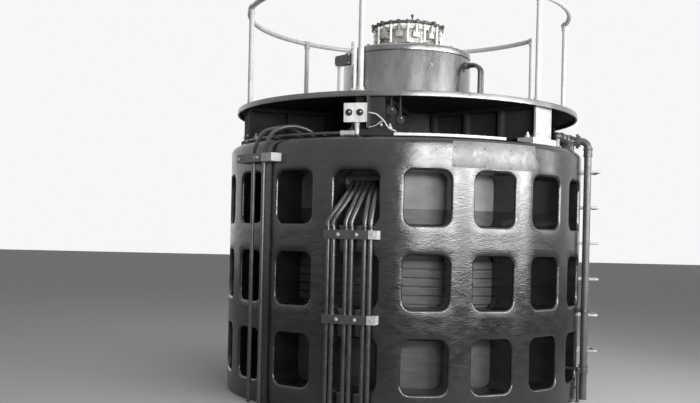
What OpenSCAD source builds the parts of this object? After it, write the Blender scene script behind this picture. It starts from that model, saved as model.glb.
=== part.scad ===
// Vertical-shaft hydroelectric generator: a windowed cast stator frame, a bearing
// spider with a round service deck, an exciter with open brush gear on top, and
// the rotor on its vertical shaft. Millimetres, Z up, origin at the centre of
// the sole ring on the floor. Angles run about the shaft from the front (-Y),
// positive towards +X.

/* [Frame] */
// Outer radius of the stator frame
frame_r = 1500; // [1400:5:1600]
// Height of the top of the frame above the floor
frame_top = 2030; // [1950:5:2150]
// Wall thickness of the frame casting
frame_wall = 40; // [30:1:60]
// Thickness of the frame's top and bottom flanges
flange_t = 45; // [30:1:60]
// Thickness of the annular ribs between the window rows
rib_t = 30; // [20:1:40]
// Radius of the rounded shoulder at the top of the frame
shoulder_r = 60; // [30:1:80]
// Thickness of the sole ring under the frame
sole_t = 40; // [25:1:60]
// Distance from the outside of the frame to the foundation bolt circle
bolt_inset = 115; // [90:5:160]
// Radius of one foundation bolt hole
bolt_hole_r = 17; // [12:0.5:24]

/* [Windows] */
// Width of a window, measured across the wall
window_w = 338; // [280:2:370]
// Height of a window
window_h = 390; // [320:2:420]
// Corner radius of a window
window_corner = 70; // [40:1:100]
// Height of the middle of the lowest row above the floor
window_z = 370; // [330:2:420]
// Distance from one row to the next
row_pitch = 606; // [560:2:640]
// Depth of the bevel round the mouth of a window
lip = 18; // [8:1:24]
// Thickness of the webs that stand beside each column of windows
web_t = 20; // [12:1:30]
// Angle of the window column that faces the front
column_phase = 3.28; // [-5:0.01:9]

/* [Stator] */
// Distance from the outside of the frame to the back of the core
channel_w = 300; // [280:5:340]
// Radial depth of the laminated core
core_depth = 196; // [150:2:220]
// Height of the bottom of the core above the floor
core_z = 455; // [420:5:520]
// Length of the core
core_len = 1019; // [900:1:1060]
// Distance between the ventilating ducts in the core
duct_pitch = 66; // [50:1:90]
// Height of a ventilating duct
duct_h = 10; // [6:1:16]
// Depth of the ducts as seen from outside
duct_depth = 30; // [15:1:50]
// Thickness of the rings that clamp the core
end_ring_t = 36; // [24:1:50]
// Sheet thickness of the shields round the end windings
shield_t = 8; // [4:1:14]

/* [Spider and deck] */
// Angle of the first spider arm
arm_phase = -14; // [-16:0.5:-12]
// Width of a spider arm
arm_w = 216; // [180:2:260]
// Distance from the outside of the frame to the outer end of the spider arms
arm_inset = 100; // [80:5:160]
// Thickness of the plates of a spider arm
arm_plate_t = 30; // [16:1:40]
// Width of a foot plate
foot_w = 330; // [280:5:380]
// Depth of a foot plate
foot_d = 140; // [100:5:170]
// Thickness of a foot plate
foot_t = 50; // [30:1:70]
// Outer radius of the bearing housing
housing_r = 360; // [320:5:420]
// Distance from the outside of the frame to the edge of the deck
deck_inset = 40; // [20:5:80]
// Height of the deck's walking surface above the top of the frame
deck_rise = 324; // [280:2:380]
// Thickness of the deck plate
deck_t = 12; // [8:1:20]
// Height of the rim round the deck
rim_h = 42; // [30:1:60]
// Thickness of the rim round the deck
rim_t = 14; // [8:1:24]

/* [Exciter] */
// Outer radius of the exciter yoke
yoke_r = 552; // [500:2:600]
// Height of the exciter yoke
yoke_h = 474; // [400:2:500]
// Wall thickness of the exciter yoke
yoke_wall = 60; // [40:1:80]
// Height of the cover ring above the joint line
cover_h = 56; // [40:1:80]
// Width of the joint line under the cover ring
joint_h = 8; // [4:1:12]
// Radius of the commutator
commutator_r = 232; // [200:2:240]
// Number of bars of the commutator
commutator_bars = 72; // [48:6:96]
// Distance from the commutator to the circle of brush posts
post_reach = 54; // [44:1:70]
// Radius of one brush post
post_r = 11; // [8:0.5:14]
// Height of the brush posts above the cover
post_h = 254; // [240:2:300]
// Number of brush posts
post_count = 12; // [8:1:14]
// Angle of the first brush post
post_phase = -3; // [-15:0.5:15]
// Gap between a brush and the commutator
brush_gap = 5; // [5:0.5:8]

/* [Handrail] */
// Distance from the edge of the deck to the handrail ring
rail_inset = 85; // [60:5:130]
// Height of the handrail above the deck
rail_h = 836; // [760:2:950]
// Outside radius of the handrail and stanchion pipe
rail_pipe_r = 21; // [16:0.5:25]
// Angle of the gate post on the near side of the entrance
gate_near = 90; // [86:0.5:96]
// Angle of the gate post on the far side of the entrance
gate_far = 118; // [112:0.5:124]

/* [Leads] */
// Radius of one main lead
lead_r = 18; // [14:0.5:19]
// Distance from the outside of the frame to the middle of the leads
lead_standoff = 48; // [36:1:60]
// Height of a lead clamp
clamp_h = 64; // [50:1:90]
// Distance from a window's sill down to the clamp under it
clamp_drop = 80; // [60:1:110]
// Radius of one side lead
side_lead_r = 16; // [10:0.5:18]
// Distance from the top of the frame down to the side lead clamp
side_clamp_drop = 150; // [120:1:200]

/* [Steps and pipes] */
// Angle of the column of step irons
step_angle = 86; // [82:0.5:96]
// Number of step irons
step_count = 6; // [4:1:6]
// Height of the lowest step iron
step_z = 370; // [320:1:420]
// Distance from one step iron to the next
step_pitch = 305; // [280:1:305]
// Distance that a step iron stands out from the frame
step_out = 175; // [140:1:200]
// Width of a step iron
step_w = 250; // [200:2:300]
// Radius of the bar of a step iron
step_bar_r = 11; // [8:0.5:14]
// Outside radius of the oil pipe
oil_pipe_r = 30; // [24:1:36]
// Angle of the oil pipe
oil_pipe_angle = 72; // [70:0.5:74]

/* [Rotor] */
// Gap between the core's bore and the rotor poles
air_gap = 12; // [8:1:30]
// Radial height of a pole with its shoe
pole_h = 142; // [110:2:170]
// Number of rotor poles
pole_count = 24; // [20:2:28]
// Radial depth of the rotor rim
rim_depth = 130; // [90:5:180]
// Radius of the shaft
shaft_r = 120; // [100:1:140]
// Radius of the coupling flange
coupling_r = 240; // [230:2:280]
// Distance from the coupling's edge to its bolt circle
coupling_bolt_inset = 50; // [40:1:60]
// Radius of one coupling bolt hole
coupling_hole_r = 20; // [14:0.5:24]

/* [Hidden] */
SEGMENT_COUNT = 9;

$fn = 96;
// Number of sides that a small cylinder is drawn with
fine = 24;
// Number of sides of a large cylinder that small pieces are cut to
smooth = 720;

// Gap left between faces that seat on each other
fit_gap = 0.3;
// Gap between the rotor and what stands still round it
run_gap = 6;
// Small overshoot that makes a cut run clean through
cut = 1;

iron_black = [0.10, 0.10, 0.11];
iron_grey = [0.42, 0.42, 0.43];
pale_paint = [0.80, 0.80, 0.78];
steel = [0.55, 0.56, 0.58];
copper = [0.62, 0.38, 0.24];
cable_black = [0.14, 0.14, 0.14];

// Frame
segment_angle = 360 / SEGMENT_COUNT;
column_pitch = segment_angle / 2;
column_count = 2 * SEGMENT_COUNT;
row_count = 3;
first_seam = column_phase - column_pitch / 2;
// Angle that the gap in each seam takes up
seam_angle = fit_gap / frame_r * 180 / PI;
frame_in = frame_r - frame_wall;
sole_inset = 6;
bolt_circle_r = frame_r - bolt_inset;
top_row_z = window_z + (row_count - 1) * row_pitch;
middle_row_z = window_z + row_pitch;

// Core and windings
core_r = frame_r - channel_w;
core_bore_r = core_r - core_depth;
core_top = core_z + core_len;
core_seat_r = core_r + fit_gap;
duct_count = floor(core_len / duct_pitch) - 1;
duct_first = core_z + (core_len - (duct_count - 1) * duct_pitch) / 2;
tooth_depth = 60;
winding_w = 90;
winding_h = 170;
winding_in = core_bore_r + tooth_depth + 10;

// Spider and deck
deck_top = frame_top + deck_rise;
deck_r = frame_r - deck_inset;
deck_under = deck_top - rim_h;
arm_count = 6;
arm_step = 360 / arm_count;
arm_r = frame_r - arm_inset;
arm_bottom = frame_top + foot_t;
arm_top = deck_top - deck_t - fit_gap;
arm_bays = 3;
arm_bay_depth = 60;
foot_r = arm_r + 15;
housing_bottom = frame_top - 110;
housing_flange_w = 30;
housing_flange_t = 28;
housing_bore_r = shaft_r + fit_gap;
deck_bore_r = shaft_r + run_gap;

// Exciter and brush gear
yoke_top = deck_top + yoke_h;
yoke_foot_w = 26;
yoke_foot_t = 22;
cover_z = yoke_top + joint_h;
cover_top = cover_z + cover_h;
cover_edge_r = 22;
post_circle_r = commutator_r + post_reach;
post_top = cover_top + post_h;
post_step = 360 / post_count;
post_cap_h = 14;
brush_ring_h = 30;
brush_ring_w = 28;
brush_ring_top = post_top - 6;
brush_ring_under = brush_ring_top - brush_ring_h;
guard_ring_w = 24;
guard_ring_h = 26;
guard_ring_z = brush_ring_under - guard_ring_h - 14;
commutator_z = cover_top + 68;
commutator_h = 115;
commutator_top = commutator_z + commutator_h;
bar_slot_w = 2.4;
bar_slot_depth = 4;
holder_z = cover_top + 108;
holder_h = 50;
holder_w = 56;

// Handrail
rail_ring_r = deck_r - rail_inset;
rail_z = deck_top + rail_h;
stanchion_angles = [-137.5, -74.5, -17.5, 43.7, gate_near, gate_far, 166];
tee_len = 60;
tee_wall = 7;
tee_gap = 0.6;
// Angle that the rail runs on past the gate posts
rail_end_angle = 1.1;

// Leads
lead_run_r = frame_r + lead_standoff;
lead_angles = [-22.9, -17.8, -12.7];
lead_window_angles = [-19.0, -15.6, -12.2];
lead_start_angles = [-19.6, -15.5, -11.4];
// Distance from the middle of a pair to the middle of each of its cables
pair_half = lead_r + 3;
upper_clamp_z = top_row_z - window_h / 2 - clamp_drop;
lower_clamp_z = middle_row_z - window_h / 2 - clamp_drop;
side_clamp_z = frame_top - side_clamp_drop;
clamp_out = 42;
clamp_angle = -17;
clamp_from = -200;
clamp_to = 126;
clamp_end_w = 74;
side_lead_angles = [-52, -47];
side_clamp_angle = -49.6;
side_clamp_from = -230;
side_clamp_to = 60;
side_clamp_end_w = 170;

// Small pieces
box_w = 170;
box_h = 138;
box_d = 90;
box_z = arm_bottom + 47;
box_shift = -95;
box_socket_r = 16;
box_socket_depth = 16;
bracket_t = 12;
conduit_r = 12.5;
fitting_r = 17.5;
conduit_run_r = frame_r - 55;
conduit_z = frame_top + fitting_r + fit_gap;
oil_level = frame_top + 95;
oil_run_r = frame_r + 55;
gauge_angle = -48;
gauge_r = yoke_r + 73;
gauge_h = 561;
exciter_lead_angle = 61;
exciter_lead_z = yoke_top - 63;
exciter_lead_r = 17;

// Rotor
rotor_r = core_bore_r - air_gap;
rotor_rim_r = rotor_r - pole_h;
rim_inner_r = rotor_rim_r - rim_depth;
spider_hub_r = shaft_r + 130;
rotor_overhang = 5;
rotor_z = core_z - rotor_overhang;
rotor_len = core_len + 2 * rotor_overhang;
coupling_z = 60;
coupling_t = 70;
shaft_top = commutator_top + 15;

// Places its children at an angle, a radius and a height; -Y points outwards there.
module at(angle, r = 0, z = 0) {
    rotate([0, 0, angle]) translate([0, -r, z]) children();
}

// Sweeps a profile drawn in (radius, height) from one angle to another.
module arc(from, to) {
    rotate([0, 0, from - 90]) rotate_extrude(angle = to - from) children();
}

// A full ring of rectangular section.
module ring(r_in, r_out, z, h) {
    rotate_extrude() translate([r_in, z]) square([r_out - r_in, h]);
}

// A square-cornered block that stands on z = 0 and lies between two radii.
module radial_block(w, r_in, r_out, z, h) {
    translate([-w / 2, -r_out, z]) cube([w, r_out - r_in, h]);
}

// A rectangle with rounded corners about the origin.
module rounded_rect(w, h, r) {
    square([w - 2 * r, h], center = true);
    square([w, h - 2 * r], center = true);
    for (x = [-1, 1], y = [-1, 1])
        translate([x * (w / 2 - r), y * (h / 2 - r)]) circle(r);
}

function unit(v) = v / norm(v);

// A point given as radius, angle and height.
function polar(p) = [p[0] * sin(p[1]), -p[0] * cos(p[1]), p[2]];

// One point of a smooth curve through four control points.
function curve_point(a, b, c, d, t) =
    0.5 * ((2 * b) + (c - a) * t + (2 * a - 5 * b + 4 * c - d) * t * t
        + (3 * b - a - 3 * c + d) * t * t * t);

// A smooth path through the control points, with some steps in each span.
function smooth_path(p, steps) = concat(
    [for (i = [0 : len(p) - 2], s = [0 : steps - 1])
        curve_point(p[max(i - 1, 0)], p[i], p[i + 1], p[min(i + 2, len(p) - 1)], s / steps)],
    [p[len(p) - 1]]);

function path_direction(p, i) = unit(p[min(i + 1, len(p) - 1)] - p[max(i - 1, 0)]);

// A round tube solid along a path; side is a direction that the path never takes.
module tube(path, r, side, sides = 12) {
    count = len(path);
    rings = [for (i = [0 : count - 1])
        let (t = path_direction(path, i), v = unit(cross(t, side)), u = cross(v, t))
            for (k = [0 : sides - 1])
                path[i] + r * (cos(360 * k / sides) * u + sin(360 * k / sides) * v)];
    walls = [for (i = [0 : count - 2], k = [0 : sides - 1])
        let (a = i * sides + k, b = i * sides + (k + 1) % sides)
            [a, b, b + sides, a + sides]];
    caps = [[for (k = [sides - 1 : -1 : 0]) k],
            [for (k = [0 : sides - 1]) (count - 1) * sides + k]];
    polyhedron(points = rings, faces = concat(walls, caps), convexity = 4);
}

// Angle of the middle of one column of windows.
function column_angle(i) = first_seam + (i + 0.5) * column_pitch;

// Sole ring: the machined ring on the foundation that the frame stands on.
module sole_ring() {
    color(iron_black) difference() {
        ring(core_seat_r, frame_r - sole_inset, 0, sole_t);
        for (i = [0 : column_count - 1])
            at(column_angle(i), bolt_circle_r, -cut)
                cylinder(r = bolt_hole_r, h = sole_t + 2 * cut, $fn = fine);
    }
}

// Section of the frame casting: skin, flanges, ribs and the rounded shoulder.
module frame_section() {
    difference() {
        union() {
            translate([frame_in, sole_t]) square([frame_wall, frame_top - sole_t]);
            translate([core_seat_r, sole_t]) square([frame_r - core_seat_r, flange_t]);
            translate([core_seat_r, frame_top - flange_t])
                square([frame_r - core_seat_r, flange_t]);
            for (row = [0 : row_count - 2])
                translate([core_seat_r, window_z + (row + 0.5) * row_pitch - rib_t / 2])
                    square([frame_r - core_seat_r, rib_t]);
        }
        translate([frame_r - shoulder_r, frame_top - shoulder_r]) difference() {
            square(shoulder_r + cut);
            circle(shoulder_r);
        }
    }
}

// The hole of one window, with the bevel round its mouth. It is drawn about the
// window's middle with X across, Y up and Z outwards through the wall.
module window_cut() {
    straight_w = window_w - 2 * window_corner;
    straight_h = window_h - 2 * window_corner;
    reach = lip + cut;
    rotate([90, 0, 0]) {
        translate([0, 0, frame_in - 10]) linear_extrude(height = frame_wall + 30)
            rounded_rect(window_w, window_h, window_corner);
        translate([0, 0, frame_r - lip]) {
            translate([-straight_w / 2, 0, 0]) rotate([90, 0, 90])
                linear_extrude(height = straight_w) bevel_profile(window_h / 2, reach);
            translate([0, straight_h / 2, 0]) rotate([90, 0, 0])
                linear_extrude(height = straight_h) bevel_profile(window_w / 2, reach);
            for (x = [-1, 1], y = [-1, 1])
                translate([x * straight_w / 2, y * straight_h / 2, 0])
                    cylinder(r1 = window_corner, r2 = window_corner + reach, h = reach);
        }
    }
}

// Section of a bevel cut: as wide as the window at the bottom, wider outwards.
module bevel_profile(half, reach) {
    polygon([[-half, 0], [half, 0], [half + reach, reach], [-half - reach, reach]]);
}

// Webs of one column: upright plates from the wall to the core, one on each side
// of its windows, that lead the air out of the core.
module column_webs() {
    web_gap = 4;
    web_in = core_r + 10;
    web_z = sole_t + flange_t / 2;
    for (side = [-1, 1])
        translate([side * (window_w / 2 + web_gap + web_t / 2), 0, 0])
            radial_block(web_t, web_in, frame_in, web_z, frame_top - flange_t / 2 - web_z);
}

// One segment of the cast frame, with two columns of three windows.
module frame_segment(index) {
    seam = first_seam + index * segment_angle;
    color(iron_black) difference() {
        union() {
            arc(seam + seam_angle / 2, seam + segment_angle - seam_angle / 2) frame_section();
            for (column = [0, 1]) rotate([0, 0, column_angle(2 * index + column)]) column_webs();
        }
        for (column = [0, 1]) rotate([0, 0, column_angle(2 * index + column)]) {
            for (row = [0 : row_count - 1])
                translate([0, 0, window_z + row * row_pitch]) window_cut();
            translate([0, -bolt_circle_r, sole_t - cut])
                cylinder(r = bolt_hole_r, h = flange_t + 2 * cut, $fn = fine);
        }
    }
}

// Laminated core with its rows of ventilating ducts.
module stator_core() {
    color(iron_grey) rotate_extrude() difference() {
        translate([core_bore_r, core_z]) square([core_depth, core_len]);
        for (i = [0 : duct_count - 1])
            translate([core_r - duct_depth, duct_first + i * duct_pitch - duct_h / 2])
                square([duct_depth + cut, duct_h]);
    }
}

// The two rings that clamp the core.
module core_end_rings() {
    color(iron_black) for (z = [core_top, core_z - end_ring_t])
        ring(core_bore_r + tooth_depth, core_r, z, end_ring_t);
}

// Plain cylindrical shields round the end windings, above and below the core.
module winding_shields() {
    upper_z = core_top + end_ring_t;
    color(pale_paint) ring(core_r - shield_t, core_r, upper_z, frame_top - upper_z);
    color(iron_black) ring(core_r - shield_t, core_r, sole_t, core_z - end_ring_t - sole_t);
}

// End windings: the coil ends that stand out of the core, above and below.
module end_windings() {
    color(copper) for (z = [core_top + end_ring_t, core_z - end_ring_t - winding_h])
        ring(winding_in, winding_in + winding_w, z, winding_h);
}

// Foot plates of the spider on the frame's top flange.
module spider_feet() {
    color(pale_paint) for (i = [0 : arm_count - 1])
        rotate([0, 0, arm_phase + i * arm_step])
            radial_block(foot_w, foot_r - foot_d, foot_r, frame_top + fit_gap, foot_t - fit_gap);
}

// One arm of the spider: a beam with top and bottom plates, and stiffeners
// between the bays of its sides.
module spider_arm() {
    height = arm_top - arm_bottom;
    bays_from = housing_r + housing_flange_w;
    bay_pitch = (arm_r - bays_from) / arm_bays;
    difference() {
        radial_block(arm_w, housing_r / 2, arm_r, arm_bottom, height);
        for (side = [-1, 1], i = [0 : arm_bays - 1])
            translate([side * arm_w / 2, -(bays_from + (i + 0.5) * bay_pitch),
                       arm_bottom + height / 2])
                cube([2 * arm_bay_depth, bay_pitch - arm_plate_t, height - 2 * arm_plate_t],
                     center = true);
    }
}

// Bearing spider: the housing of the thrust and guide bearing with its six arms.
module bearing_spider() {
    color(iron_black) difference() {
        union() {
            translate([0, 0, housing_bottom])
                cylinder(r = housing_r, h = arm_top - housing_bottom);
            translate([0, 0, housing_bottom])
                cylinder(r = housing_r + housing_flange_w, h = housing_flange_t);
            for (i = [0 : arm_count - 1]) rotate([0, 0, arm_phase + i * arm_step]) spider_arm();
        }
        translate([0, 0, housing_bottom - cut])
            cylinder(r = housing_bore_r, h = arm_top - housing_bottom + 2 * cut);
    }
}

// Round plate of the service deck.
module deck_plate() {
    color(iron_grey) ring(deck_bore_r, deck_r - rim_t - fit_gap, deck_top - deck_t, deck_t);
}

// Upstanding rim band that is turned down round the deck.
module deck_rim() {
    color(pale_paint) ring(deck_r - rim_t, deck_r, deck_under, rim_h);
}

// Exciter yoke: the drum that stands on the deck, with its foot flange.
module exciter_yoke() {
    yoke_in = yoke_r - yoke_wall;
    color(iron_grey) rotate_extrude() {
        translate([yoke_in, deck_top]) square([yoke_wall, yoke_h]);
        translate([yoke_in, deck_top]) square([yoke_wall + yoke_foot_w, yoke_foot_t]);
        translate([yoke_in, yoke_top]) square([yoke_wall - joint_h, joint_h]);
    }
}

// Cover ring of the exciter, which carries the brush gear.
module exciter_cover() {
    cover_in = commutator_r + run_gap;
    color(iron_grey) rotate_extrude() difference() {
        translate([cover_in, cover_z]) square([yoke_r - cover_in, cover_h]);
        translate([yoke_r - cover_edge_r, cover_top - cover_edge_r]) difference() {
            square(cover_edge_r + cut);
            circle(cover_edge_r);
        }
    }
}

// One brush post on its insulated socket, with the nut that holds the ring.
module brush_post() {
    socket_r = post_r + 10;
    socket_h = 50;
    base_h = 10;
    collar_h = 12;
    cylinder(r = post_r, h = post_h, $fn = fine);
    cylinder(r = socket_r + 6, h = base_h, $fn = fine);
    translate([0, 0, base_h])
        cylinder(r1 = socket_r, r2 = post_r + 6, h = socket_h, $fn = fine);
    translate([0, 0, brush_ring_under - fit_gap - collar_h - cover_top])
        cylinder(r = post_r + 4, h = collar_h, $fn = fine);
    translate([0, 0, brush_ring_top + fit_gap - cover_top])
        cylinder(r = post_r + 4, h = post_cap_h, $fn = fine);
}

// Posts of the brush gear on the cover.
module brush_posts() {
    color(pale_paint) for (i = [0 : post_count - 1])
        at(post_phase + i * post_step, post_circle_r, cover_top) brush_post();
}

// Rocker ring with a boss round each post, and the pale guard ring inside them.
module brush_ring() {
    ring_in = post_circle_r - post_r - 3;
    boss_r = post_r + 11;
    lug_w = 26;
    lug_reach = 24;
    color(iron_black) translate([0, 0, brush_ring_under])
        linear_extrude(height = brush_ring_h) difference() {
            union() {
                circle(ring_in + brush_ring_w);
                for (i = [0 : post_count - 1])
                    rotate(post_phase + i * post_step) translate([0, -post_circle_r])
                        circle(boss_r, $fn = fine);
                for (i = [0 : post_count - 1])
                    rotate(post_phase + (i + 0.5) * post_step)
                        translate([-lug_w / 2, -ring_in - brush_ring_w - lug_reach])
                            square([lug_w, lug_reach + brush_ring_w / 2]);
            }
            circle(ring_in);
            for (i = [0 : post_count - 1])
                rotate(post_phase + i * post_step) translate([0, -post_circle_r])
                    circle(post_r + fit_gap, $fn = fine);
        }
    guard_out = post_circle_r - post_r - fit_gap;
    color(pale_paint) ring(guard_out - guard_ring_w, guard_out, guard_ring_z, guard_ring_h);
}

// One brush holder, hung from the rocker ring: its arm, its box, the carbon
// brush that reaches for the commutator, and the spring barrel on its back.
module brush_holder() {
    box_in = commutator_r + 2.5 * run_gap;
    box_out = post_circle_r + 4;
    brush_w = 40;
    brush_h = 34;
    barrel_r = 9;
    hanger_w = 20;
    hanger_in = post_circle_r - post_r;
    hanger_out = post_circle_r + 10;
    radial_block(holder_w, box_in, box_out, holder_z, holder_h);
    radial_block(brush_w, commutator_r + brush_gap, box_in + cut,
                 holder_z + (holder_h - brush_h) / 2, brush_h);
    translate([-holder_w / 2, -box_out, holder_z + holder_h]) rotate([0, 90, 0])
        cylinder(r = barrel_r, h = holder_w, $fn = fine);
    radial_block(hanger_w, hanger_in, hanger_out, holder_z + holder_h / 2,
                 brush_ring_under - holder_z - holder_h / 2 - fit_gap);
}

// Brush holders, one between each two posts.
module brush_holders() {
    color(iron_black) for (i = [0 : post_count - 1])
        rotate([0, 0, post_phase + (i + 0.5) * post_step]) brush_holder();
}

// Handrail: a ring of pipe that is open at the entrance.
module handrail() {
    color(pale_paint) arc(gate_far - rail_end_angle, gate_near + 360 + rail_end_angle, $fn = smooth)
        translate([rail_ring_r, rail_z]) circle(rail_pipe_r, $fn = fine);
}

// One stanchion: its pipe, its floor flange and the tee that the rail runs through.
module stanchion() {
    flange_h = 14;
    socket_h = 40;
    difference() {
        union() {
            cylinder(r = rail_pipe_r, h = rail_h, $fn = fine);
            cylinder(r = 2.2 * rail_pipe_r, h = flange_h, $fn = fine);
            cylinder(r = rail_pipe_r + tee_wall, h = socket_h, $fn = fine);
            translate([0, 0, rail_h - tee_len / 2 - rail_pipe_r])
                cylinder(r = rail_pipe_r + tee_wall, h = tee_len / 2, $fn = fine);
            translate([-tee_len / 2, 0, rail_h]) rotate([0, 90, 0])
                cylinder(r = rail_pipe_r + tee_wall, h = tee_len, $fn = fine);
        }
        translate([-tee_len, 0, rail_h]) rotate([0, 90, 0])
            cylinder(r = rail_pipe_r + tee_gap, h = 2 * tee_len, $fn = fine);
    }
}

// Stanchions of the handrail.
module stanchions() {
    color(pale_paint) for (angle = stanchion_angles)
        at(angle, rail_ring_r, deck_top) stanchion();
}

// Direction along the wall, to the right as seen from outside, at an angle.
function along_wall(angle) = [cos(angle), sin(angle), 0];

// Route of the middle of one pair of main leads: out of the window, over the
// sill and down to the floor.
function main_lead_path(i) = [for (p = smooth_path([
    [core_r + 8, lead_start_angles[i], top_row_z + 118],
    [frame_in - 140, (lead_start_angles[i] + lead_window_angles[i]) / 2, top_row_z + 108],
    [frame_in - 30, lead_window_angles[i], top_row_z + 38],
    [frame_r + 15, (lead_window_angles[i] + lead_angles[i]) / 2, top_row_z - 82],
    [lead_run_r, lead_angles[i], top_row_z - 182],
    [lead_run_r, lead_angles[i], upper_clamp_z + clamp_h / 2 + 4]], 4)) polar(p)];

// Main leads: three pairs of cable down the outside of the frame.
module main_leads() {
    color(cable_black) for (i = [0 : 2], side = [-1, 1]) {
        beside = along_wall(lead_angles[i]);
        route = concat(main_lead_path(i), [polar([lead_run_r, lead_angles[i], 0])]);
        tube([for (p = route) p + side * pair_half * beside], lead_r, beside);
    }
}

// Route of one side lead: up out of the top flange, over the shoulder and down.
function side_lead_path(angle) = concat(
    [polar([core_r + 90, angle + 11, frame_top + fit_gap])],
    [for (p = smooth_path([
        [core_r + 90, angle + 11, frame_top + 16], [core_r + 108, angle + 10, frame_top + 62],
        [frame_r - 100, angle + 6.5, frame_top + 92], [frame_r + 5, angle + 3, frame_top + 55],
        [frame_r + lead_standoff - 3, angle + 1, frame_top - 40],
        [lead_run_r, angle, side_clamp_z + clamp_h / 2 + 12],
        [lead_run_r, angle, side_clamp_z + clamp_h / 2 + 4]], 4)) polar(p)]);

// Side leads: a lighter pair of cables down the left of the frame.
module side_leads() {
    color(cable_black) for (angle = side_lead_angles)
        tube(concat(side_lead_path(angle), [polar([lead_run_r, angle, 0])]), side_lead_r,
             along_wall(angle), 10);
}

// A clamp bar on the frame, bored for the cables that it holds, with a plain
// end block beside it. It runs between two distances along the wall.
module lead_clamp(angle, from, to, end_w, z, cables, r) {
    depth = lead_standoff + clamp_out + frame_wall;
    difference() {
        rotate([0, 0, angle]) {
            translate([from, -frame_r + frame_wall - depth, z - clamp_h / 2])
                cube([to - from, depth, clamp_h]);
            translate([to + fit_gap, -frame_r + frame_wall - depth + 10, z - clamp_h / 2 - 6])
                cube([end_w, depth - 10, clamp_h + 12]);
        }
        translate([0, 0, z - clamp_h])
            cylinder(r = frame_r + fit_gap, h = 2 * clamp_h, $fn = smooth);
        for (p = cables) translate([p[0], p[1], z - clamp_h])
            cylinder(r = r + fit_gap, h = 2 * clamp_h, $fn = fine);
    }
}

// Clamps that hold the leads to the frame.
module lead_clamps() {
    main_cables = [for (a = lead_angles, side = [-1, 1])
        polar([lead_run_r, a, 0]) + side * pair_half * along_wall(a)];
    side_cables = [for (a = side_lead_angles) polar([lead_run_r, a, 0])];
    color(iron_black) {
        for (z = [upper_clamp_z, lower_clamp_z])
            lead_clamp(clamp_angle, clamp_from, clamp_to, clamp_end_w, z, main_cables, lead_r);
        lead_clamp(side_clamp_angle, side_clamp_from, side_clamp_to, side_clamp_end_w,
                   side_clamp_z, side_cables, side_lead_r);
    }
}

// Junction box on the end of the front spider arm: a box with two sockets in
// its front, and the bracket plate beside it.
module junction_box() {
    color(pale_paint) rotate([0, 0, arm_phase]) {
        difference() {
            translate([box_shift, 0, 0])
                radial_block(box_w, arm_r + fit_gap, arm_r + box_d, box_z, box_h);
            for (side = [-1, 1])
                translate([box_shift + side * box_w / 4, -arm_r - box_d + box_socket_depth,
                           box_z + box_h / 2])
                    rotate([90, 0, 0])
                        cylinder(r = box_socket_r, h = box_socket_depth + cut, $fn = fine);
        }
        radial_block(bracket_t, arm_r + fit_gap, arm_r + box_d, arm_bottom,
                     deck_under - arm_bottom - fit_gap);
        translate([box_shift + box_w / 2 - cut, -arm_r - box_d / 2, box_z + box_h / 2 - 20])
            cube([-box_shift - box_w / 2 + 2 * cut, box_d / 2 - 10, 40]);
    }
}

// Conduit along the edge of the frame's top on its saddles, with the fitting at
// its end and the riser to the junction box.
module conduit() {
    run_from = -66;
    fitting_from = -21.85;
    fitting_to = -17.85;
    riser_angle = -17.4;
    saddles = [-63, -54, -45, -36, -27];
    saddle_w = 26;
    color(iron_black) {
        arc(run_from, fitting_from) translate([conduit_run_r, conduit_z])
            circle(conduit_r, $fn = fine);
        arc(fitting_from, riser_angle) translate([conduit_run_r, conduit_z])
            circle(fitting_r, $fn = fine);
        at(riser_angle, conduit_run_r, conduit_z)
            cylinder(r = fitting_r, h = box_z - conduit_z - fit_gap, $fn = fine);
        at(riser_angle, conduit_run_r, conduit_z) sphere(fitting_r, $fn = fine);
        for (angle = saddles) rotate([0, 0, angle])
            radial_block(saddle_w, conduit_run_r - 2 * conduit_r, conduit_run_r,
                         frame_top + fit_gap, conduit_z - frame_top);
    }
}

// Flat segmented strip on the frame's top edge.
module edge_strip() {
    strip_from = -6.6;
    strip_to = 28;
    strip_w = 50;
    strip_t = 20;
    strip_in = bolt_circle_r;
    pieces = 4;
    gap = 0.4;
    step = (strip_to - strip_from) / pieces;
    color(pale_paint) for (i = [0 : pieces - 1])
        arc(strip_from + i * step, strip_from + (i + 1) * step - gap)
            translate([strip_in, frame_top + fit_gap]) square([strip_w, strip_t]);
}

// Oil valve on the top flange: a flanged body on its pedestal, with its bonnet,
// and a branch pipe round the flange with two unions and its stand.
module valve_block() {
    body_r = 46;
    flange_r = 60;
    flange_w = 16;
    body_in = frame_r - 195;
    body_out = frame_r - 22;
    body_mid = (body_in + body_out) / 2;
    pedestal_w = 110;
    bonnet_r = 30;
    bonnet_h = 50;
    branch_r = 26;
    branch_to = 56;
    unions = [59, 64];
    color(iron_black) {
        rotate([0, 0, oil_pipe_angle]) {
            radial_block(pedestal_w, body_in + 30, body_out - 40, frame_top,
                         oil_level - frame_top);
            translate([0, -body_in, oil_level]) rotate([90, 0, 0])
                cylinder(r = body_r, h = body_out - body_in, $fn = fine);
            for (r = [body_in, body_out - flange_w])
                translate([0, -r, oil_level]) rotate([90, 0, 0])
                    cylinder(r = flange_r, h = flange_w, $fn = fine);
            translate([0, -body_mid, oil_level])
                cylinder(r = bonnet_r, h = bonnet_h, $fn = fine);
        }
        arc(branch_to, oil_pipe_angle) translate([body_mid, oil_level])
            circle(branch_r, $fn = fine);
        for (angle = unions) arc(angle, angle + 2) translate([body_mid, oil_level])
            circle(branch_r + 14, $fn = fine);
        rotate([0, 0, branch_to]) {
            radial_block(2 * branch_r, body_mid - branch_r, body_mid + branch_r, frame_top,
                         oil_level - frame_top);
            translate([0, -body_mid, oil_level]) sphere(branch_r + 8, $fn = fine);
        }
    }
}

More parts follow.
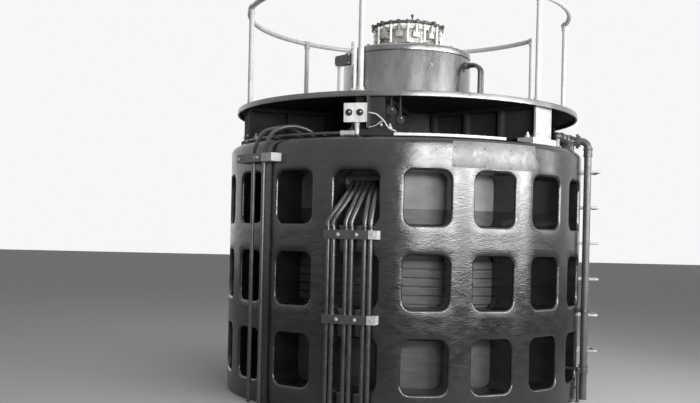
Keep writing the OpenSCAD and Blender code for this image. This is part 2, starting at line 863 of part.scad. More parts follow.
// Oil pipe from the valve down to the floor, with its unions and its bracket, and
// the thin drain pipe that comes out of the lowest window beside it.
module oil_pipe() {
    bend_r = 62;
    union_r = oil_pipe_r + 9;
    union_h = 76;
    unions = [oil_level - 130, 212];
    bracket_z = 712;
    bracket_h = 44;
    bracket_w = 40;
    run_end = frame_r - 22 + fit_gap;
    drain_r = 12;
    drain_angle = 66;
    drain_out = 32;
    drain_z = 270;
    color(iron_grey) {
        at(oil_pipe_angle, oil_run_r) {
            cylinder(r = oil_pipe_r, h = oil_level - bend_r, $fn = fine);
            translate([0, bend_r, oil_level - bend_r]) rotate([90, 0, -90])
                rotate_extrude(angle = 90) translate([bend_r, 0])
                    circle(oil_pipe_r, $fn = fine);
            for (z = unions) translate([0, 0, z])
                cylinder(r = union_r, h = union_h, $fn = fine);
            translate([0, 0, bracket_z])
                cylinder(r = union_r, h = bracket_h, $fn = fine);
        }
        at(oil_pipe_angle, oil_run_r - bend_r, oil_level) rotate([-90, 0, 0])
            cylinder(r = oil_pipe_r, h = oil_run_r - bend_r - run_end, $fn = fine);
        at(oil_pipe_angle, run_end + 14, oil_level) rotate([-90, 0, 0])
            cylinder(r = union_r + 8, h = 14, $fn = fine);
        rotate([0, 0, oil_pipe_angle])
            radial_block(bracket_w, frame_r + fit_gap, oil_run_r, bracket_z, bracket_h);
        at(drain_angle, frame_r + drain_out) {
            cylinder(r = drain_r, h = drain_z, $fn = fine);
            translate([0, 0, drain_z]) sphere(drain_r + 3, $fn = fine);
            translate([0, 0, drain_z]) rotate([-90, 0, 0])
                cylinder(r = drain_r, h = drain_out + frame_wall + 40, $fn = fine);
            cylinder(r = 2 * drain_r, h = 10, $fn = fine);
            translate([-drain_r, 0, 110]) cube([2 * drain_r, drain_out - fit_gap, 20]);
        }
    }
}

// One step iron: a bar bent to a U, with its two feet on the frame. Its middle
// is on the shaft axis, and -Y points outwards.
module step_iron() {
    half = step_w / 2 - step_bar_r;
    bend = 2.5 * step_bar_r;
    outer = frame_r + step_out - step_bar_r;
    seat = ceil(10 * sqrt(pow(frame_r, 2) - pow(half - step_bar_r, 2)) + 3) / 10;
    for (side = [-1, 1]) {
        translate([side * half, -seat, 0]) rotate([90, 0, 0])
            cylinder(r = step_bar_r, h = outer - bend - seat, $fn = fine);
        translate([side * (half - bend), -(outer - bend), 0])
            rotate([0, 0, side > 0 ? -90 : 180]) rotate_extrude(angle = 90)
                translate([bend, 0]) circle(step_bar_r, $fn = fine);
    }
    translate([-(half - bend), -outer, 0]) rotate([0, 90, 0])
        cylinder(r = step_bar_r, h = 2 * (half - bend), $fn = fine);
}

// Step irons up the side of the frame.
module step_irons() {
    color(iron_black) for (i = [0 : step_count - 1])
        at(step_angle, 0, step_z + i * step_pitch) step_iron();
}

// Two leads from the bushings on the exciter down to the deck.
module exciter_leads() {
    bend = 70;
    straight = 66;
    bushing_r = exciter_lead_r + 8;
    bushing_t = 26;
    half_gap = bushing_r + 1;
    color(cable_black) rotate([0, 0, exciter_lead_angle]) for (side = [-1, 1])
        translate([side * half_gap, -yoke_r - fit_gap, 0]) {
            translate([0, 0, exciter_lead_z]) rotate([90, 0, 0])
                cylinder(r = exciter_lead_r, h = straight, $fn = fine);
            translate([0, 0, exciter_lead_z]) rotate([90, 0, 0])
                cylinder(r1 = bushing_r, r2 = exciter_lead_r + 3, h = bushing_t, $fn = fine);
            translate([0, -straight, exciter_lead_z - bend]) rotate([90, 0, -90])
                rotate_extrude(angle = 90) translate([bend, 0])
                    circle(exciter_lead_r, $fn = fine);
            translate([0, -straight - bend, deck_top])
                cylinder(r = exciter_lead_r, h = exciter_lead_z - bend - deck_top, $fn = fine);
        }
}

// Oil gauge beside the exciter: the column with its gauge slot, and the float
// box at its side on a thinner pipe.
module oil_gauge() {
    column_r = 24;
    slot_w = 12;
    slot_h = 190;
    flange_r = 45;
    gauge_box_w = 195;
    gauge_box_h = 84;
    gauge_box_z = 378;
    pipe_r = 12;
    pipe_shift = -197;
    color(pale_paint) at(gauge_angle, gauge_r, deck_top) {
        difference() {
            cylinder(r = column_r, h = gauge_h, $fn = fine);
            translate([-slot_w / 2, -column_r - cut, gauge_box_z - slot_h - 20])
                cube([slot_w, column_r, slot_h]);
        }
        cylinder(r = flange_r, h = 14, $fn = fine);
        translate([-column_r / 2 - gauge_box_w, -30, gauge_box_z])
            cube([gauge_box_w, 60, gauge_box_h]);
        translate([pipe_shift + pipe_r, 0, 0])
            cylinder(r = pipe_r, h = gauge_box_z + cut, $fn = fine);
        translate([pipe_shift + pipe_r, 0, 0]) cylinder(r = 2 * pipe_r, h = 10, $fn = fine);
    }
}

// Shaft with the coupling flange at its lower end.
module shaft() {
    coupling_bolts = 8;
    color(steel) difference() {
        union() {
            translate([0, 0, coupling_z]) cylinder(r = coupling_r, h = coupling_t);
            translate([0, 0, coupling_z]) cylinder(r = shaft_r, h = shaft_top - coupling_z);
        }
        for (i = [0 : coupling_bolts - 1])
            at(i * 360 / coupling_bolts, coupling_r - coupling_bolt_inset, coupling_z - cut)
                cylinder(r = coupling_hole_r, h = coupling_t + 2 * cut, $fn = fine);
    }
}

// Rotor spider: hub, arms and rim.
module rotor_spider() {
    arm_t = 60;
    rotor_arms = 6;
    color(iron_grey) translate([0, 0, rotor_z]) linear_extrude(height = rotor_len)
        difference() {
            union() {
                circle(spider_hub_r);
                difference() {
                    circle(rotor_rim_r);
                    circle(rim_inner_r);
                }
                for (i = [0 : rotor_arms / 2 - 1]) rotate(i * 360 / rotor_arms)
                    square([2 * rim_inner_r + 20, arm_t], center = true);
            }
            circle(shaft_r + fit_gap);
        }
}

// One salient pole: its body on the rim, its field coil and its curved shoe.
module rotor_pole() {
    body_w = 96;
    coil_w = 150;
    coil_in = rotor_rim_r + 24;
    shoe_t = 34;
    shoe_half = 5.2;
    shoe_in = rotor_r - shoe_t;
    pole_z = rotor_z + 20;
    pole_len = rotor_len - 40;
    difference() {
        union() {
            radial_block(body_w, rotor_rim_r - 20, shoe_in + 4, pole_z, pole_len);
            translate([0, -coil_in, pole_z + pole_len / 2]) rotate([90, 0, 0])
                linear_extrude(height = shoe_in - coil_in + 4)
                    rounded_rect(coil_w, pole_len, coil_w / 3);
            arc(-shoe_half, shoe_half) translate([shoe_in, pole_z]) square([shoe_t, pole_len]);
        }
        cylinder(r = rotor_rim_r + fit_gap, h = frame_top);
    }
}

// Salient poles round the rim of the rotor.
module rotor_poles() {
    color(copper) for (i = [0 : pole_count - 1])
        rotate([0, 0, i * 360 / pole_count]) rotor_pole();
}

// Commutator on the shaft: copper bars with slots between them, and the clamp
// ring over their ends.
module commutator() {
    clamp_w = 85;
    clamp_h = 12;
    bore_r = shaft_r + fit_gap;
    color(copper) difference() {
        union() {
            ring(bore_r, commutator_r, commutator_z, commutator_h);
            ring(bore_r, bore_r + clamp_w, commutator_top, clamp_h);
        }
        for (i = [0 : commutator_bars - 1]) rotate([0, 0, i * 360 / commutator_bars])
            radial_block(bar_slot_w, commutator_r - bar_slot_depth, commutator_r + cut,
                         commutator_z - cut, commutator_h + 2 * cut);
    }
}

sole_ring();
for (i = [1 : SEGMENT_COUNT])
    frame_segment(i - 1);
stator_core();
core_end_rings();
winding_shields();
end_windings();
spider_feet();
bearing_spider();
deck_plate();
deck_rim();
exciter_yoke();
exciter_cover();
brush_posts();
brush_ring();
brush_holders();
handrail();
stanchions();
lead_clamps();
main_leads();
side_leads();
junction_box();
conduit();
edge_strip();
valve_block();
oil_pipe();
step_irons();
exciter_leads();
oil_gauge();
shaft();
rotor_spider();
rotor_poles();
commutator();
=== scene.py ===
from math import asin, cos, degrees, pi, radians, sin, sqrt

import bmesh
import bpy
from mathutils import Matrix, Vector

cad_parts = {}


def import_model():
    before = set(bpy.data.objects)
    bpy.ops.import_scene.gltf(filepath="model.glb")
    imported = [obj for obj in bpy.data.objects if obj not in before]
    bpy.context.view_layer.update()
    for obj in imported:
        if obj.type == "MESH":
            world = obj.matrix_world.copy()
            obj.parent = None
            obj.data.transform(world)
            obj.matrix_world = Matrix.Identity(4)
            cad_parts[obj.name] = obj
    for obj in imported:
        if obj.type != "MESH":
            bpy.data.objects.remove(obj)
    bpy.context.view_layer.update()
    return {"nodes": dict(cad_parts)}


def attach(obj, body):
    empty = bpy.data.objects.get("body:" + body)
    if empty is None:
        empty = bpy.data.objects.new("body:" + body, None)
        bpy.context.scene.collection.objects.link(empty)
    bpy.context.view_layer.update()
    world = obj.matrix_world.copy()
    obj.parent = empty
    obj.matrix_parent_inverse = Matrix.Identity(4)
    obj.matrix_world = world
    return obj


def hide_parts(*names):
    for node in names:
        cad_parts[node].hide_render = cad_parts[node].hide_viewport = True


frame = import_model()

# Sizes in metres. Angles are in degrees about the shaft from the front (-Y),
# positive towards +X, as in the part's source.

# Gap that keeps two seated pieces apart
SEAT = 0.0003

FRAME_R = 1.500
FRAME_WALL = 0.040
FRAME_TOP = 2.030
FRAME_BOTTOM = 0.040
FLANGE_T = 0.045
SHOULDER_R = 0.060
CORE_R = 1.200
FLANGE_IN = 1.2003
CORE_TOP = 1.474
CORE_Z = 0.455
END_RING_T = 0.036
COLUMN_PHASE = 3.28
COLUMN_PITCH = 20.0
COLUMNS = 18
# Cast parts of the frame, each with two columns of windows
SEGMENTS = 9
ROWS = 3
ROW_PITCH = 0.606
WINDOW_Z = 0.370
WINDOW_W = 0.338
WINDOW_H = 0.390
WINDOW_CORNER = 0.070
LIP_R = 0.020
DUCT_DEPTH = 0.2955
DUCT_T = 0.0038
WEB_T = 0.020
BOLT_CIRCLE_R = 1.385

ARM_PHASE = -14.0
ARM_STEP = 60.0
ARMS = 6
ARM_R = 1.400
ARM_W = 0.216
# Where the arms start inside the housing, and the room that they leave for the end plate
ARM_START = 0.200
ARM_END_T = 0.0205
ARM_BOTTOM = 2.080
ARM_TOP = 2.3417
FOOT_W = 0.330
FOOT_D = 0.140
FOOT_T = 0.050
# The one arm whose end and foot are pale, painted light from the right; the ends and feet of the
# other arms are dark, painted shade
PAINTED_LIT_ARM = 1
HOUSING_R = 0.360
HOUSING_BOTTOM = 1.920
SHAFT_R = 0.120
DECK_R = 1.460
DECK_TOP = 2.354
DECK_T = 0.012
RIM_H = 0.042
RIM_T = 0.014

YOKE_R = 0.552
YOKE_TOP = 2.828
YOKE_WALL = 0.060
COVER_Z = 2.836
COVER_TOP = 2.892
COMMUTATOR_R = 0.232
COMMUTATOR_Z = 2.960
COMMUTATOR_H = 0.115
COMMUTATOR_BARS = 72
POSTS = 12
POST_PHASE = -3.0
POST_CIRCLE_R = 0.286
POST_R = 0.011
RING_LOW = 3.110
RING_TOP = 3.140
RING_OUT = 0.300
LUG_OUT = 0.324
HOLDER_R = 0.2685
HOLDER_Z = 3.025

RAIL_R = 1.375
RAIL_Z = 3.190
PIPE_R = 0.021
GATE_NEAR = 90.0
GATE_FAR = 118.0
RAIL_END = 1.1
STANCHIONS = (-137.5, -74.5, -17.5, 43.7, GATE_NEAR, GATE_FAR, 166)

LEAD_R = 0.018
PAIR_HALF = 0.021
LEAD_RUN_R = 1.548
LEADS = (-22.9, -17.8, -12.7)
LEADS_AT_WINDOW = (-19.0, -15.6, -12.2)
LEADS_AT_START = (-19.6, -15.5, -11.4)
SIDE_LEAD_R = 0.016
SIDE_LEADS = (-52.0, -47.0)
UPPER_CLAMP_Z = 1.307
LOWER_CLAMP_Z = 0.701
SIDE_CLAMP_Z = 1.880
CLAMP_FRONT = 1.590
BLOCK_FRONT = 1.580

STEP_ANGLE = 86.0
STEP_Z = 0.370
STEP_PITCH = 0.305
STEPS = 6
OIL_PIPE_ANGLE = 72.0
OIL_PIPE_R = 0.030
OIL_RUN_R = 1.555
OIL_LEVEL = 2.125


# Lays the Z axis of a piece outwards
OUTWARD = Matrix.Rotation(pi / 2, 4, "X")


def polar(r, angle, z=0.0):
    a = radians(angle)
    return Vector((r * sin(a), -r * cos(a), z))


def yaw(angle):
    return Matrix.Rotation(radians(angle), 4, "Z")


def move(x, y, z):
    return Matrix.Translation((x, y, z))


def at(angle, r=0.0, z=0.0):
    """Matrix that places a piece at an angle, a radius and a height; -Y is outwards."""
    return yaw(angle) @ move(0, -r, z)


def band(inner, outer, low, high, ease=0.0):
    """Profile of a ring, or of a disc where the inner radius is 0, with eased corners."""
    corners = [(inner, low), (outer, low), (outer, high), (inner, high)]
    return rounded_profile(corners, ease) if ease else corners


def arc_points(cx, cy, r, start, end, steps):
    """Points on an arc in a profile, from one angle in degrees to another."""
    turns = [radians(start + (end - start) * i / steps) for i in range(steps + 1)]
    return [(cx + r * cos(t), cy + r * sin(t)) for t in turns]


def rounded_profile(corners, radius, steps=3):
    """A closed profile with each corner rounded to the radius."""
    out = []
    count = len(corners)
    for i, corner in enumerate(corners):
        here = Vector(corner)
        back = (Vector(corners[i - 1]) - here)
        ahead = (Vector(corners[(i + 1) % count]) - here)
        reach = min(radius, back.length * 0.45, ahead.length * 0.45)
        start = here + back.normalized() * reach
        end = here + ahead.normalized() * reach
        for s in range(steps + 1):
            t = s / steps
            point = start * (1 - t) ** 2 + here * 2 * t * (1 - t) + end * t * t
            out.append((point.x, point.y))
    return out


def smooth_path(points, steps):
    """A smooth path through the points, as the part's source draws it."""
    pts = [Vector(p) for p in points]
    last = len(pts) - 1
    out = []
    for i in range(last):
        a, b = pts[max(i - 1, 0)], pts[i]
        c, d = pts[i + 1], pts[min(i + 2, last)]
        for s in range(steps):
            t = s / steps
            out.append(0.5 * ((2 * b) + (c - a) * t + (2 * a - 5 * b + 4 * c - d) * t * t
                + (3 * b - a - 3 * c + d) * t ** 3))
    out.append(pts[-1])
    return out


def quads(n, strips, loops, closed=True):
    """Faces of strips between loops of n points; after the last loop comes the first."""
    return [(i * n + k, i * n + (k + 1) % n, (i + 1) % loops * n + (k + 1) % n,
        (i + 1) % loops * n + k) for i in range(strips) for k in range(n if closed else n - 1)]


def put(name, data):
    """Adds an object with this data to the scene."""
    obj = bpy.data.objects.new(name, data)
    bpy.context.scene.collection.objects.link(obj)
    return obj


class Shape:
    """Collects meshes of one material into one piece."""

    def __init__(self):
        self.bm = bmesh.new()

    def add(self, verts, faces, matrix=None):
        matrix = matrix or Matrix.Identity(4)
        made = [self.bm.verts.new(matrix @ Vector(v)) for v in verts]
        for face in faces:
            self.bm.faces.new([made[i] for i in face])
        return self

    def lathe(self, profile, steps, start=0.0, end=360.0, matrix=None):
        """Turns a closed profile of (radius, height) about Z."""
        full = abs(end - start) >= 359.999
        stops = steps if full else steps + 1
        n = len(profile)
        verts = []
        for i in range(stops):
            a = start + (end - start) * i / steps
            verts += [polar(r, a, z) for r, z in profile]
        faces = quads(n, steps, stops)
        if not full:
            faces.append(tuple(reversed(range(n))))
            faces.append(tuple((stops - 1) * n + k for k in range(n)))
        return self.add(verts, faces, matrix)

    def turned(self, profile, steps=32, matrix=None):
        """Turns an open profile, from axis to axis, into a closed solid about Z."""
        n = len(profile) - 2
        verts = [(0, 0, profile[0][1])]
        for i in range(steps):
            verts += [polar(r, 360 * i / steps, z) for r, z in profile[1:-1]]
        verts.append((0, 0, profile[-1][1]))
        last = len(verts) - 1
        faces = []
        for i in range(steps):
            a, b = 1 + i * n, 1 + ((i + 1) % steps) * n
            faces.append((0, b, a))
            faces += [(a + k, b + k, b + k + 1, a + k + 1) for k in range(n - 1)]
            faces.append((a + n - 1, b + n - 1, last))
        return self.add(verts, faces, matrix)

    def rod(self, r, z0, z1, steps=24, matrix=None, edge=0.0015):
        """A rod along Z with eased edges."""
        edge = min(edge, r * 0.4, abs(z1 - z0) * 0.4)
        profile = [(0, z0), (r - edge, z0), (r, z0 + edge), (r, z1 - edge), (r - edge, z1), (0, z1)]
        return self.turned(profile, steps, matrix)

    def disc(self, r, low, high, steps, matrix=None):
        """A rod with sharp edges; 6 steps make a hexagon."""
        return self.turned(band(0, r, low, high), steps, matrix)

    def box(self, size, centre=(0, 0, 0), matrix=None, edge=0.003):
        """A block with eased edges."""
        start = len(self.bm.verts)
        hx, hy, hz = (s / 2 for s in size)
        verts = [(centre[0] + x * hx, centre[1] + y * hy, centre[2] + z * hz) for x in (-1, 1)
            for y in (-1, 1) for z in (-1, 1)]
        faces = [(0, 1, 3, 2), (4, 6, 7, 5), (0, 4, 5, 1), (2, 3, 7, 6), (0, 2, 6, 4), (1, 5, 7, 3)]
        self.add(verts, faces, matrix)
        if edge:
            self.bm.verts.ensure_lookup_table()
            edges = dict.fromkeys(e for v in self.bm.verts[start:] for e in v.link_edges)
            bmesh.ops.bevel(self.bm, geom=list(edges), offset=min(edge, min(size) * 0.35),
                segments=2, profile=0.6, affect="EDGES")
        return self

    def tube(self, path, radius, sides=20, matrix=None):
        """A tube along a path, with flat ends."""
        pts = [Vector(p) for p in path]
        last = len(pts) - 1
        ahead = (pts[1] - pts[0]).normalized()
        side = ahead.orthogonal().normalized()
        verts = []
        for i, p in enumerate(pts):
            new = (pts[min(i + 1, last)] - pts[max(i - 1, 0)]).normalized()
            side = (side - new * side.dot(new)).normalized()
            other = new.cross(side)
            r = radius[i] if isinstance(radius, (list, tuple)) else radius
            verts += [p + r * (cos(2 * pi * k / sides) * side + sin(2 * pi * k / sides) * other)
                for k in range(sides)]
        faces = quads(sides, last, last + 1)
        faces.append(tuple(reversed(range(sides))))
        faces.append(tuple(last * sides + k for k in range(sides)))
        return self.add(verts, faces, matrix)

    def ball(self, r, centre, matrix=None, steps=20):
        profile = [(0, -r)] + [(r * cos(radians(a)), r * sin(radians(a)))
            for a in range(-75, 76, 15)] + [(0, r)]
        place = (matrix or Matrix.Identity(4)) @ Matrix.Translation(centre)
        return self.turned(profile, steps, place)

    def along(self, start, end, r, steps=20, edge=0.0015, matrix=None):
        """A rod from one point to another."""
        start, end = Vector(start), Vector(end)
        turn = (end - start).to_track_quat("Z", "Y").to_matrix().to_4x4()
        place = (matrix or Matrix.Identity(4)) @ Matrix.Translation(start) @ turn
        return self.rod(r, 0, (end - start).length, steps, place, edge)

    def prism(self, outline, low, high, matrix=None):
        """An upright prism on an outline."""
        n = len(outline)
        verts = [(x, y, low) for x, y in outline] + [(x, y, high) for x, y in outline]
        faces = [tuple(reversed(range(n))), tuple(range(n, 2 * n))]
        faces += [(i, (i + 1) % n, n + (i + 1) % n, n + i) for i in range(n)]
        return self.add(verts, faces, matrix)

    def bolt(self, r, h, matrix):
        """A hexagon head with a washer, standing on z = 0."""
        self.rod(r * 1.35, 0, h * 0.18, 20, matrix, 0.0004)
        profile = [(0, h * 0.18), (r, h * 0.18), (r, h * 0.88), (r * 0.84, h), (0, h)]
        return self.turned(profile, 6, matrix)

    def bolts(self, r, h, count, start, circle, z):
        """Bolts on a circle about the shaft, the first at the start angle."""
        for i in range(count):
            self.bolt(r, h, at(start + 360 / count * i, circle, z))
        return self

    def piece(self, name, material, slot, *nodes, body="stator", sharp=32.0):
        """Makes the collected mesh a piece that rides on a body and replaces the nodes."""
        bmesh.ops.recalc_face_normals(self.bm, faces=self.bm.faces)
        mesh = bpy.data.meshes.new(name)
        self.bm.to_mesh(mesh)
        self.bm.free()
        mesh.polygons.foreach_set("use_smooth", [True] * len(mesh.polygons))
        mesh.set_sharp_from_angle(angle=radians(sharp))
        obj = put(name, mesh)
        mesh.materials.append(material)
        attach(obj, body)
        if nodes:
            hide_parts(*nodes)


def shapes(count):
    return [Shape() for _ in range(count)]


def fill(node, inputs):
    """Sets the inputs of a shader node by name."""
    for name, value in inputs.items():
        node.inputs[name].default_value = value
    return node


# Materials. Every one is built from noise in object space, so that it holds its
# place on the piece.

def material(name, colour, rough, metallic=0.0, specular=0.5, coat=0.0, coat_rough=0.1,
        mottle=(6.0, 0.25), stretch=(1, 1, 1), rough_spread=0.12, grain=(160.0, 0.12, 0.0008),
        waves=None, dust=0.0):
    """One finish: mottled colour, uneven gloss, fine grain and broad waves."""
    mat = bpy.data.materials.new(name)
    mat.use_nodes = True
    nodes, links = mat.node_tree.nodes, mat.node_tree.links
    bsdf = fill(nodes["Principled BSDF"], {"Metallic": metallic, "Specular IOR Level": specular,
        "Coat Weight": coat, "Coat Roughness": coat_rough})

    place = nodes.new("ShaderNodeTexCoord")
    mapping = fill(nodes.new("ShaderNodeMapping"), {"Scale": stretch})
    links.new(place.outputs["Object"], mapping.inputs["Vector"])

    def noise(scale, detail, vector, roughness=0.55):
        node = fill(nodes.new("ShaderNodeTexNoise"), {"Scale": scale, "Detail": detail,
            "Roughness": roughness})
        links.new(vector, node.inputs["Vector"])
        return node.outputs["Fac"]

    def ramp(value, low, high, start=0.3, end=0.7):
        node = fill(nodes.new("ShaderNodeMapRange"), {"From Min": start, "From Max": end,
            "To Min": low, "To Max": high})
        links.new(value, node.inputs["Value"])
        return node.outputs["Result"]

    def mix(factor, a, b):
        node = nodes.new("ShaderNodeMix")
        node.data_type = "RGBA"
        node.inputs["A"].default_value = (*a, 1)
        node.inputs["B"].default_value = (*b, 1)
        links.new(factor, node.inputs["Factor"])
        return node

    broad = noise(mottle[0], 5, mapping.outputs["Vector"])
    dark = tuple(c * (1 - mottle[1]) for c in colour)
    light = tuple(min(1.0, c * (1 + mottle[1])) for c in colour)
    tone = mix(ramp(broad, 0, 1), dark, light)
    colour_out = tone.outputs["Result"]
    if dust:
        fine = noise(mottle[0] * 5, 6, place.outputs["Object"], 0.7)
        second = mix(ramp(fine, 0, dust, 0.5, 0.75), (0, 0, 0), (0.42, 0.41, 0.39))
        links.new(colour_out, second.inputs["A"])
        colour_out = second.outputs["Result"]
    links.new(colour_out, bsdf.inputs["Base Color"])

    uneven = noise(mottle[0] * 3, 4, mapping.outputs["Vector"])
    links.new(ramp(uneven, max(0.03, rough - rough_spread), rough + rough_spread),
        bsdf.inputs["Roughness"])

    height = None
    for scale, strength, depth in filter(None, (grain, waves)):
        bump = fill(nodes.new("ShaderNodeBump"), {"Strength": strength, "Distance": depth})
        links.new(noise(scale, 4, mapping.outputs["Vector"]), bump.inputs["Height"])
        if height:
            links.new(height, bump.inputs["Normal"])
        height = bump.outputs["Normal"]
    if height:
        links.new(height, bsdf.inputs["Normal"])
    return mat


ENAMEL = material("frame_enamel", (0.010, 0.010, 0.011), 0.20, specular=0.72, mottle=(4.0, 0.45),
    stretch=(1, 1, 1.6), rough_spread=0.08, grain=(62.0, 0.55, 0.0018), waves=(9.0, 0.34, 0.005),
    dust=0.015)
PLATE = material("plate_enamel", (0.055, 0.055, 0.055), 0.34, coat=0.3, coat_rough=0.25,
    mottle=(7.0, 0.3), grain=(90.0, 0.3, 0.0010), waves=(13.0, 0.3, 0.003), dust=0.16)
CORE = material("core_iron", (0.085, 0.085, 0.087), 0.50, mottle=(5.0, 0.35), stretch=(1, 1, 6),
    grain=(60.0, 0.3, 0.0012), dust=0.08)
SHIELD = material("shield_paint", (0.23, 0.23, 0.226), 0.5, mottle=(4.0, 0.20),
    grain=(120.0, 0.2, 0.0008), waves=(5.0, 0.3, 0.003), dust=0.15)
TAPE = material("winding_tape", (0.28, 0.25, 0.20), 0.6, mottle=(9.0, 0.3),
    grain=(90.0, 0.5, 0.002))
POLE = material("pole_iron", (0.20, 0.17, 0.145), 0.5, mottle=(7.0, 0.3))
PALE = material("pale_metal", (0.60, 0.60, 0.59), 0.42, mottle=(9.0, 0.16),
    grain=(130.0, 0.2, 0.0007), dust=0.12)
# Pale colour of one arm's end and foot: painted light, a lit copy of the arm ends' finish
FOOT_PAINTED_LIGHT = material("spider_foot_painted_light", (0.42, 0.42, 0.412), 0.42, mottle=(9.0, 0.2),
    grain=(130.0, 0.2, 0.0007), dust=0.12)
DECK = material("deck_iron", (0.40, 0.40, 0.39), 0.46, mottle=(4.0, 0.25),
    grain=(140.0, 0.2, 0.0008), waves=(7.0, 0.25, 0.002), dust=0.25)
RIM = material("deck_rim_paint", (0.10, 0.10, 0.10), 0.34, metallic=0.5, coat=0.8, coat_rough=0.25,
    mottle=(6.0, 0.25), grain=(140.0, 0.2, 0.0008), dust=0.06)
# Dark colour under the deck, for its underside, the spider and the fittings there: partly their
# black paint, partly painted shade of the deck
UNDER_DECK_PAINT_AND_SHADE = material("deck_underside_paint_and_shade", (0.030, 0.030, 0.031), 0.7, specular=0.15, mottle=(4.0, 0.3),
    grain=(100.0, 0.3, 0.001), dust=0.03)
EXCITER = material("exciter_paint", (0.17, 0.17, 0.17), 0.29, metallic=0.9, coat=0.8,
    coat_rough=0.20, mottle=(6.0, 0.35), stretch=(1, 1, 0.4), grain=(110.0, 0.20, 0.0006),
    waves=(7.0, 0.20, 0.003), dust=0.02)
BRASS = material("brass_posts", (0.80, 0.79, 0.75), 0.3, metallic=0.6, mottle=(14.0, 0.16),
    grain=(200.0, 0.15, 0.0004))
BRASS_DARK = material("brush_box_metal", (0.55, 0.54, 0.51), 0.4, metallic=0.4, mottle=(16.0, 0.25),
    grain=(200.0, 0.2, 0.0004))
BRUSH = material("brush_iron", (0.085, 0.085, 0.085), 0.45, mottle=(14.0, 0.3))
RAIL = material("rail_paint", (0.57, 0.57, 0.56), 0.36, coat=0.2, coat_rough=0.3,
    mottle=(7.0, 0.14), grain=(150.0, 0.2, 0.0006), dust=0.15)
CLAMP = material("clamp_iron", (0.042, 0.042, 0.043), 0.36, coat=0.35, coat_rough=0.25,
    mottle=(9.0, 0.35), grain=(120.0, 0.3, 0.001), dust=0.08)
CABLE = material("cable_cover", (0.030, 0.030, 0.030), 0.30, coat=0.6, coat_rough=0.18,
    mottle=(14.0, 0.4), stretch=(1, 1, 0.5), grain=(150.0, 0.55, 0.0014), waves=(22.0, 0.4, 0.003),
    dust=0.03)
CABLE_PALE = material("side_cable_cover", (0.052, 0.052, 0.052), 0.34, coat=0.5, coat_rough=0.22,
    mottle=(14.0, 0.3), stretch=(1, 1, 0.5), grain=(150.0, 0.5, 0.0012), dust=0.05)
BLOCK = material("clamp_block_paint", (0.46, 0.46, 0.455), 0.42, mottle=(9.0, 0.2),
    grain=(120.0, 0.25, 0.0008), dust=0.10)
BOX = material("box_paint", (0.66, 0.66, 0.645), 0.45, mottle=(10.0, 0.16),
    grain=(120.0, 0.2, 0.0006), dust=0.12)
PIPE = material("pipe_iron", (0.070, 0.070, 0.069), 0.38, coat=0.15, coat_rough=0.25,
    mottle=(8.0, 0.25), grain=(140.0, 0.25, 0.0008), dust=0.06)
STEEL = material("shaft_steel", (0.42, 0.42, 0.43), 0.33, metallic=0.9, mottle=(9.0, 0.1),
    stretch=(1, 1, 8), grain=(180.0, 0.15, 0.0004))
COPPER = material("commutator_copper", (0.44, 0.425, 0.405), 0.34, metallic=0.5, mottle=(16.0, 0.2),
    stretch=(1, 1, 0.3), grain=(200.0, 0.15, 0.0004))
OIL = material("gauge_oil", (0.10, 0.075, 0.03), 0.2, mottle=(9.0, 0.1), grain=None)
GLASS = material("gauge_tube", (0.86, 0.88, 0.87), 0.06, mottle=(9.0, 0.02), grain=None,
    rough_spread=0.02)
GLASS.node_tree.nodes["Principled BSDF"].inputs["Transmission Weight"].default_value = 0.9


def dress(node, mat):
    """Gives a node of the frame its material."""
    obj = frame["nodes"][node]
    obj.data.materials.clear()
    obj.data.materials.append(mat)


# Frame shell

def rounded_loop(half_w, half_h, corner, side_steps, corner_steps):
    """Loop of a rounded window from its top left corner, clockwise, about (0, 0)."""
    loop = []
    for turn in range(4):
        quarter = 90 - 90 * turn
        first = quarter + 45
        cx = [-1, 1, 1, -1][turn] * (half_w - corner)
        cy = [1, 1, -1, -1][turn] * (half_h - corner)
        for s in range(corner_steps):
            a = radians(first - 45 * s / corner_steps)
            loop.append((cx + corner * cos(a), cy + corner * sin(a)))
        nx = [1, 1, -1, -1][turn] * (half_w - corner)
        ny = [1, -1, -1, 1][turn] * (half_h - corner)
        ox, oy = corner * cos(radians(quarter)), corner * sin(radians(quarter))
        for s in range(side_steps):
            t = s / side_steps
            loop.append((cx + (nx - cx) * t + ox, cy + (ny - cy) * t + oy))
        for s in range(corner_steps):
            a = radians(quarter - 45 * s / corner_steps)
            loop.append((nx + corner * cos(a), ny + corner * sin(a)))
    return loop


def outline_loop(half_w, low, high, steps):
    """Loop of a cell's outline with as many points, from its top left corner."""
    corners = band(-half_w, half_w, high, low)
    loop = []
    for i in range(4):
        (x0, y0), (x1, y1) = corners[i], corners[(i + 1) % 4]
        loop += [(x0 + (x1 - x0) * s / steps, y0 + (y1 - y0) * s / steps) for s in range(steps)]
    return loop


